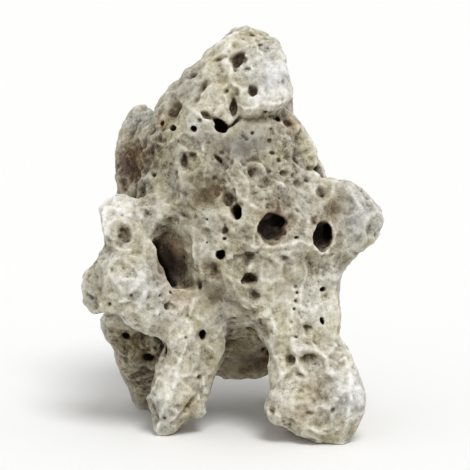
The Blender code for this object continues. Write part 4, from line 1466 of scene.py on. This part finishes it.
@dataclass
class Skin:
    """The weathered skin of the whole stone, as one closed mesh with marks for its finish.

    Sizes are in millimetres. On its far side the cells are calmer in small patches, by the share far_calm, from the
    first to the second distance of far behind the zero point.
    """

    step: float = 0.8
    coarse_step: float = 1.3
    reach: float = 6.0
    triangles: int = 196_000
    bend_size: float = 8.0
    ragged_size: float = 2.6
    far: tuple[float, float] = (15.0, 35.0)
    far_calm: float = 0.55
    calm_size: float = 15.0
    weathering: Weathering = field(default_factory=Weathering)
    front: Front = field(default_factory=Front)
    shading: Shading = field(default_factory=Shading)
    finish: WeatheredLimestone = field(default_factory=WeatheredLimestone)

    def build(self, node: bpy.types.Object) -> bpy.types.Object:
        """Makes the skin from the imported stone.

        Args:
            node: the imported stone.

        Returns:
            The skin, in place.
        """
        body = Body.of_node(node)
        grid = Grid.of_body(body, self.step, self.reach)
        log.info("form: %d corners, grid: %s points", len(body.corners), grid.distance.shape)
        grid.bends = [grid.spread(Noise(Seed.BEND + i), self.bend_size, 2) for i in range(3)]
        grid.ragged = grid.spread(Noise(Seed.RAGGED), self.ragged_size, 2)
        log.info("noise fields done")
        coarse = Grid.of_body(body, self.coarse_step, self.reach + self.coarse_step)
        self.weathering.relief(grid, coarse, lambda places: self.calmness(body, places))
        log.info("relief done")
        self.front.carve(grid, body)
        log.info("pits: %d", self.weathering.scatter(grid, body))
        self.flatten_soles(grid)
        corners, faces = largest_piece(*grid.surface())
        log.info("surface: %d triangles", len(faces))
        skin = self.as_object(corners, faces)
        log.info("thinned")
        self.mark(skin, grid, body, corners, faces)
        skin.data.materials.append(self.finish.material())
        return skin

    def calmness(self, body: Body, places: np.ndarray) -> np.ndarray:
        """By what share the cells and pores are weaker: in the front's calm patches and in some of the far side.

        Args:
            body: the form, for the places of the front's patches.
            places: points in millimetres.

        Returns:
            One value to a point, from nothing to one.
        """
        away = (places - seen(0, 0, 0)) @ SIGHT
        patches = eased(-0.35, 0.55, Noise(Seed.CALM).smooth(places.astype(np.float32), self.calm_size))
        far = eased(*self.far, away) * patches
        return np.clip(self.front.stain(self.front.calm, body, places) + self.far_calm * far, 0.0, 1.0)

    def flatten_soles(self, grid: Grid) -> None:
        """Cuts the skin off where it would reach below the ground."""
        height = grid.low[2] + grid.step * np.arange(grid.distance.shape[2], dtype=np.float32)
        grid.distance = np.maximum(grid.distance, -height)

    def as_object(self, corners: np.ndarray, faces: np.ndarray) -> bpy.types.Object:
        """Puts the surface into a mesh and thins it where it is flattest.

        Args:
            corners: places in millimetres.
            faces: triangles.

        Returns:
            The object, smooth shaded.
        """
        mesh = bpy.data.meshes.new("skin")
        mesh.vertices.add(len(corners))
        mesh.vertices.foreach_set("co", (corners * MM).astype(np.float32).ravel())
        mesh.loops.add(len(faces) * 3)
        mesh.loops.foreach_set("vertex_index", faces.astype(np.int32).ravel())
        mesh.polygons.add(len(faces))
        mesh.polygons.foreach_set("loop_start", np.arange(0, len(faces) * 3, 3, dtype=np.int32))
        mesh.update(calc_edges=True)
        raw = bpy.data.objects.new("raw_skin", mesh)
        bpy.context.scene.collection.objects.link(raw)
        thin = raw.modifiers.new("thin", "DECIMATE")
        thin.ratio = min(self.triangles / len(faces), 1.0)
        thinned = bpy.data.meshes.new_from_object(raw.evaluated_get(bpy.context.evaluated_depsgraph_get()))
        bpy.data.objects.remove(raw)
        thinned.shade_smooth()
        skin = bpy.data.objects.new("limestone_skin", thinned)
        bpy.context.scene.collection.objects.link(skin)
        return skin

    def mark(
        self, skin: bpy.types.Object, grid: Grid, body: Body, corners: np.ndarray, faces: np.ndarray
    ) -> None:
        """Works out each corner's tone, and how restless, cool and rusty it is.

        A corner is lighter on a crest or a vein, lighter where it faces up and darker where it faces down as painted
        light from above, and darker in a hollow as painted shade, the more so the deeper it lies under a lid over
        narrow hollows and under one over wide hollows. How hollow a place is, is how much stone there is round it,
        beyond the half that is there on a flat face; where there is less, on edges, it is paler.

        Args:
            skin: the skin.
            grid: the weathered stone.
            body: the form, for the patches of the front.
            corners: the skin's corners before thinning.
            faces: its triangles.
        """
        shading = self.shading
        front = self.front
        points = np.empty(len(skin.data.vertices) * 3, np.float32)
        skin.data.vertices.foreach_get("co", points)
        points = points.reshape(-1, 3) / MM
        out = np.empty(len(points) * 3, np.float32)
        skin.data.vertices.foreach_get("normal", out)
        out = out.reshape(-1, 3)
        stone = np.clip(0.5 - grid.distance / grid.step, 0.0, 1.0).astype(np.float32)
        fine = grid.averaged(stone, shading.fine_radius)
        mid = grid.averaged(fine, shading.mid_radius)
        fine_share = grid.sample(fine, points) - 0.5
        mid_share = grid.sample(mid, points) - 0.5
        lids = (shading.narrow_lid, shading.wide_lid)
        depths = [depth_under_lid(corners, faces, points, lid.radius) for lid in lids]
        clouds = Noise(Seed.CLOUDS).rough(points.astype(np.float32), shading.cloud_size, 3)
        bent = points + CREST_BEND * np.stack([grid.sample(bend, points) for bend in grid.bends], axis=1)
        pale = np.max([crest.bleach(bent, body) for crest in front.crests], axis=0)
        even, uneven, most = shading.broken
        broken = np.clip(even + uneven * grid.sample(grid.ragged, points), 0.0, most)
        # painted shade in the front's hollows, darker the deeper they are
        painted_hollow_shade = front.painted_hollow_shade(body, points)
        restless = 1.0 - front.stain(front.calm, body, points)
        veins = self.weathering.veins(points.astype(np.float32))
        tone = (
            shading.base
            + shading.cloud * clouds
            # painted light from above, by how far each face turns up
            + shading.painted_light_from_above * out[:, 2]
            + broken * (shading.crest * pale + shading.vein * restless * veins)
            # painted shade where more stone lies round a place than on a flat face, and a paler tone on edges
            - restless * (shading.fine * fine_share + shading.mid * mid_share)
        )
        # painted shade: the deeper a place lies under each lid, the darker it is
        for depth, lid in zip(depths, lids):
            for slope, start, length in lid.rows:
                tone = tone - slope * np.clip(depth - start, 0.0, length)
        # the patches' tone, in places painted shade, and the painted shade of the front's hollows
        tone = tone + front.stain(front.patches, body, points) - painted_hollow_shade
        slope, start, length = shading.darkest_row
        darkest = shading.darkest - slope * np.clip(depths[0] - start, 0.0, length) - shading.darkest_hollow_shade * painted_hollow_shade
        rust = front.stain(front.rust, body, points) + shading.hollow_shade_rust * painted_hollow_shade
        marks = {
            "tone": np.clip(tone, np.maximum(darkest, 0.0), 1.0),
            "restless": restless,
            "cool": np.clip(front.stain(front.cool, body, points), 0.0, 1.0),
            "rust": np.clip(rust, 0.0, shading.most_rust),
        }
        for name, values in marks.items():
            layer = skin.data.attributes.new(name, "FLOAT", "POINT")
            layer.data.foreach_set("value", values.astype(np.float32))


@dataclass
class Studio:
    """A pale floor, soft light from above and the camera at the photograph's angle.

    Lengths are in metres. The frame is as wide as frame_width at the stone, and its middle is frame_pixel.
    """

    floor_side: float = 12.0
    floor_colour: str = "F7F7F6"
    distance: float = 1.6
    frame_width: float = 0.240
    frame_pixel: tuple[float, float] = (228.0, 276.0)
    sky: float = 0.60
    sun: float = 1.75
    sun_degrees: float = 24.0
    sun_way: tuple[float, float, float] = (-0.22, 0.55, -1.0)

    def floor(self) -> None:
        """A wide pale floor under the stone."""
        half = self.floor_side / 2.0
        mesh = bpy.data.meshes.new("floor")
        corners = [(-half, -half, 0), (half, -half, 0), (half, half, 0), (-half, half, 0)]
        mesh.from_pydata(corners, [], [(0, 1, 2, 3)])
        made = bpy.data.objects.new("floor", mesh)
        bpy.context.scene.collection.objects.link(made)
        paper = bpy.data.materials.new("matte_paper")
        paper.use_nodes = True
        shader = paper.node_tree.nodes["Principled BSDF"]
        shader.inputs["Base Color"].default_value = linear(self.floor_colour)
        shader.inputs["Roughness"].default_value = 1.0
        mesh.materials.append(paper)

    def lights(self) -> None:
        """Even light from all round, and a broad soft one from above, in front and a little to the right."""
        world = bpy.data.worlds.new("studio")
        bpy.context.scene.world = world
        world.use_nodes = True
        backdrop = world.node_tree.nodes["Background"]
        backdrop.inputs["Color"].default_value = (1.0, 1.0, 1.0, 1.0)
        backdrop.inputs["Strength"].default_value = self.sky
        lamp = bpy.data.lights.new("overhead", "SUN")
        lamp.energy = self.sun
        lamp.angle = math.radians(self.sun_degrees)
        made = bpy.data.objects.new("overhead", lamp)
        made.rotation_mode = "QUATERNION"
        made.rotation_quaternion = Vector(self.sun_way).to_track_quat("-Z", "Y")
        bpy.context.scene.collection.objects.link(made)

    def camera(self) -> None:
        """The camera, on the square of the photograph that holds the stone."""
        lens = bpy.data.cameras.new("camera")
        made = bpy.data.objects.new("camera", lens)
        bpy.context.scene.collection.objects.link(made)
        across, up = at_pixel(*self.frame_pixel)
        target = Vector(seen(across, up, 0.0)) * MM
        made.location = Vector(seen(across, up, -self.distance / MM)) * MM
        made.rotation_mode = "QUATERNION"
        made.rotation_quaternion = (target - made.location).to_track_quat("-Z", "Y")
        lens.lens = lens.sensor_width * self.distance / self.frame_width
        bpy.context.scene.camera = made

    def build(self) -> None:
        """Sets up everything round the stone."""
        self.floor()
        self.lights()
        self.camera()
        bpy.context.scene.view_settings.view_transform = "Standard"


def main() -> None:
    """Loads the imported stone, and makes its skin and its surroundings."""
    logging.basicConfig(level=logging.INFO, format="%(relativeCreated)6d ms  %(message)s")
    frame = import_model()
    skin = Skin().build(frame["nodes"]["rock"])
    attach(skin, "root")
    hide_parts("rock")
    log.info("skin: %d triangles", len(skin.data.polygons))
    Studio().build()


if __name__ == "__main__":
    main()
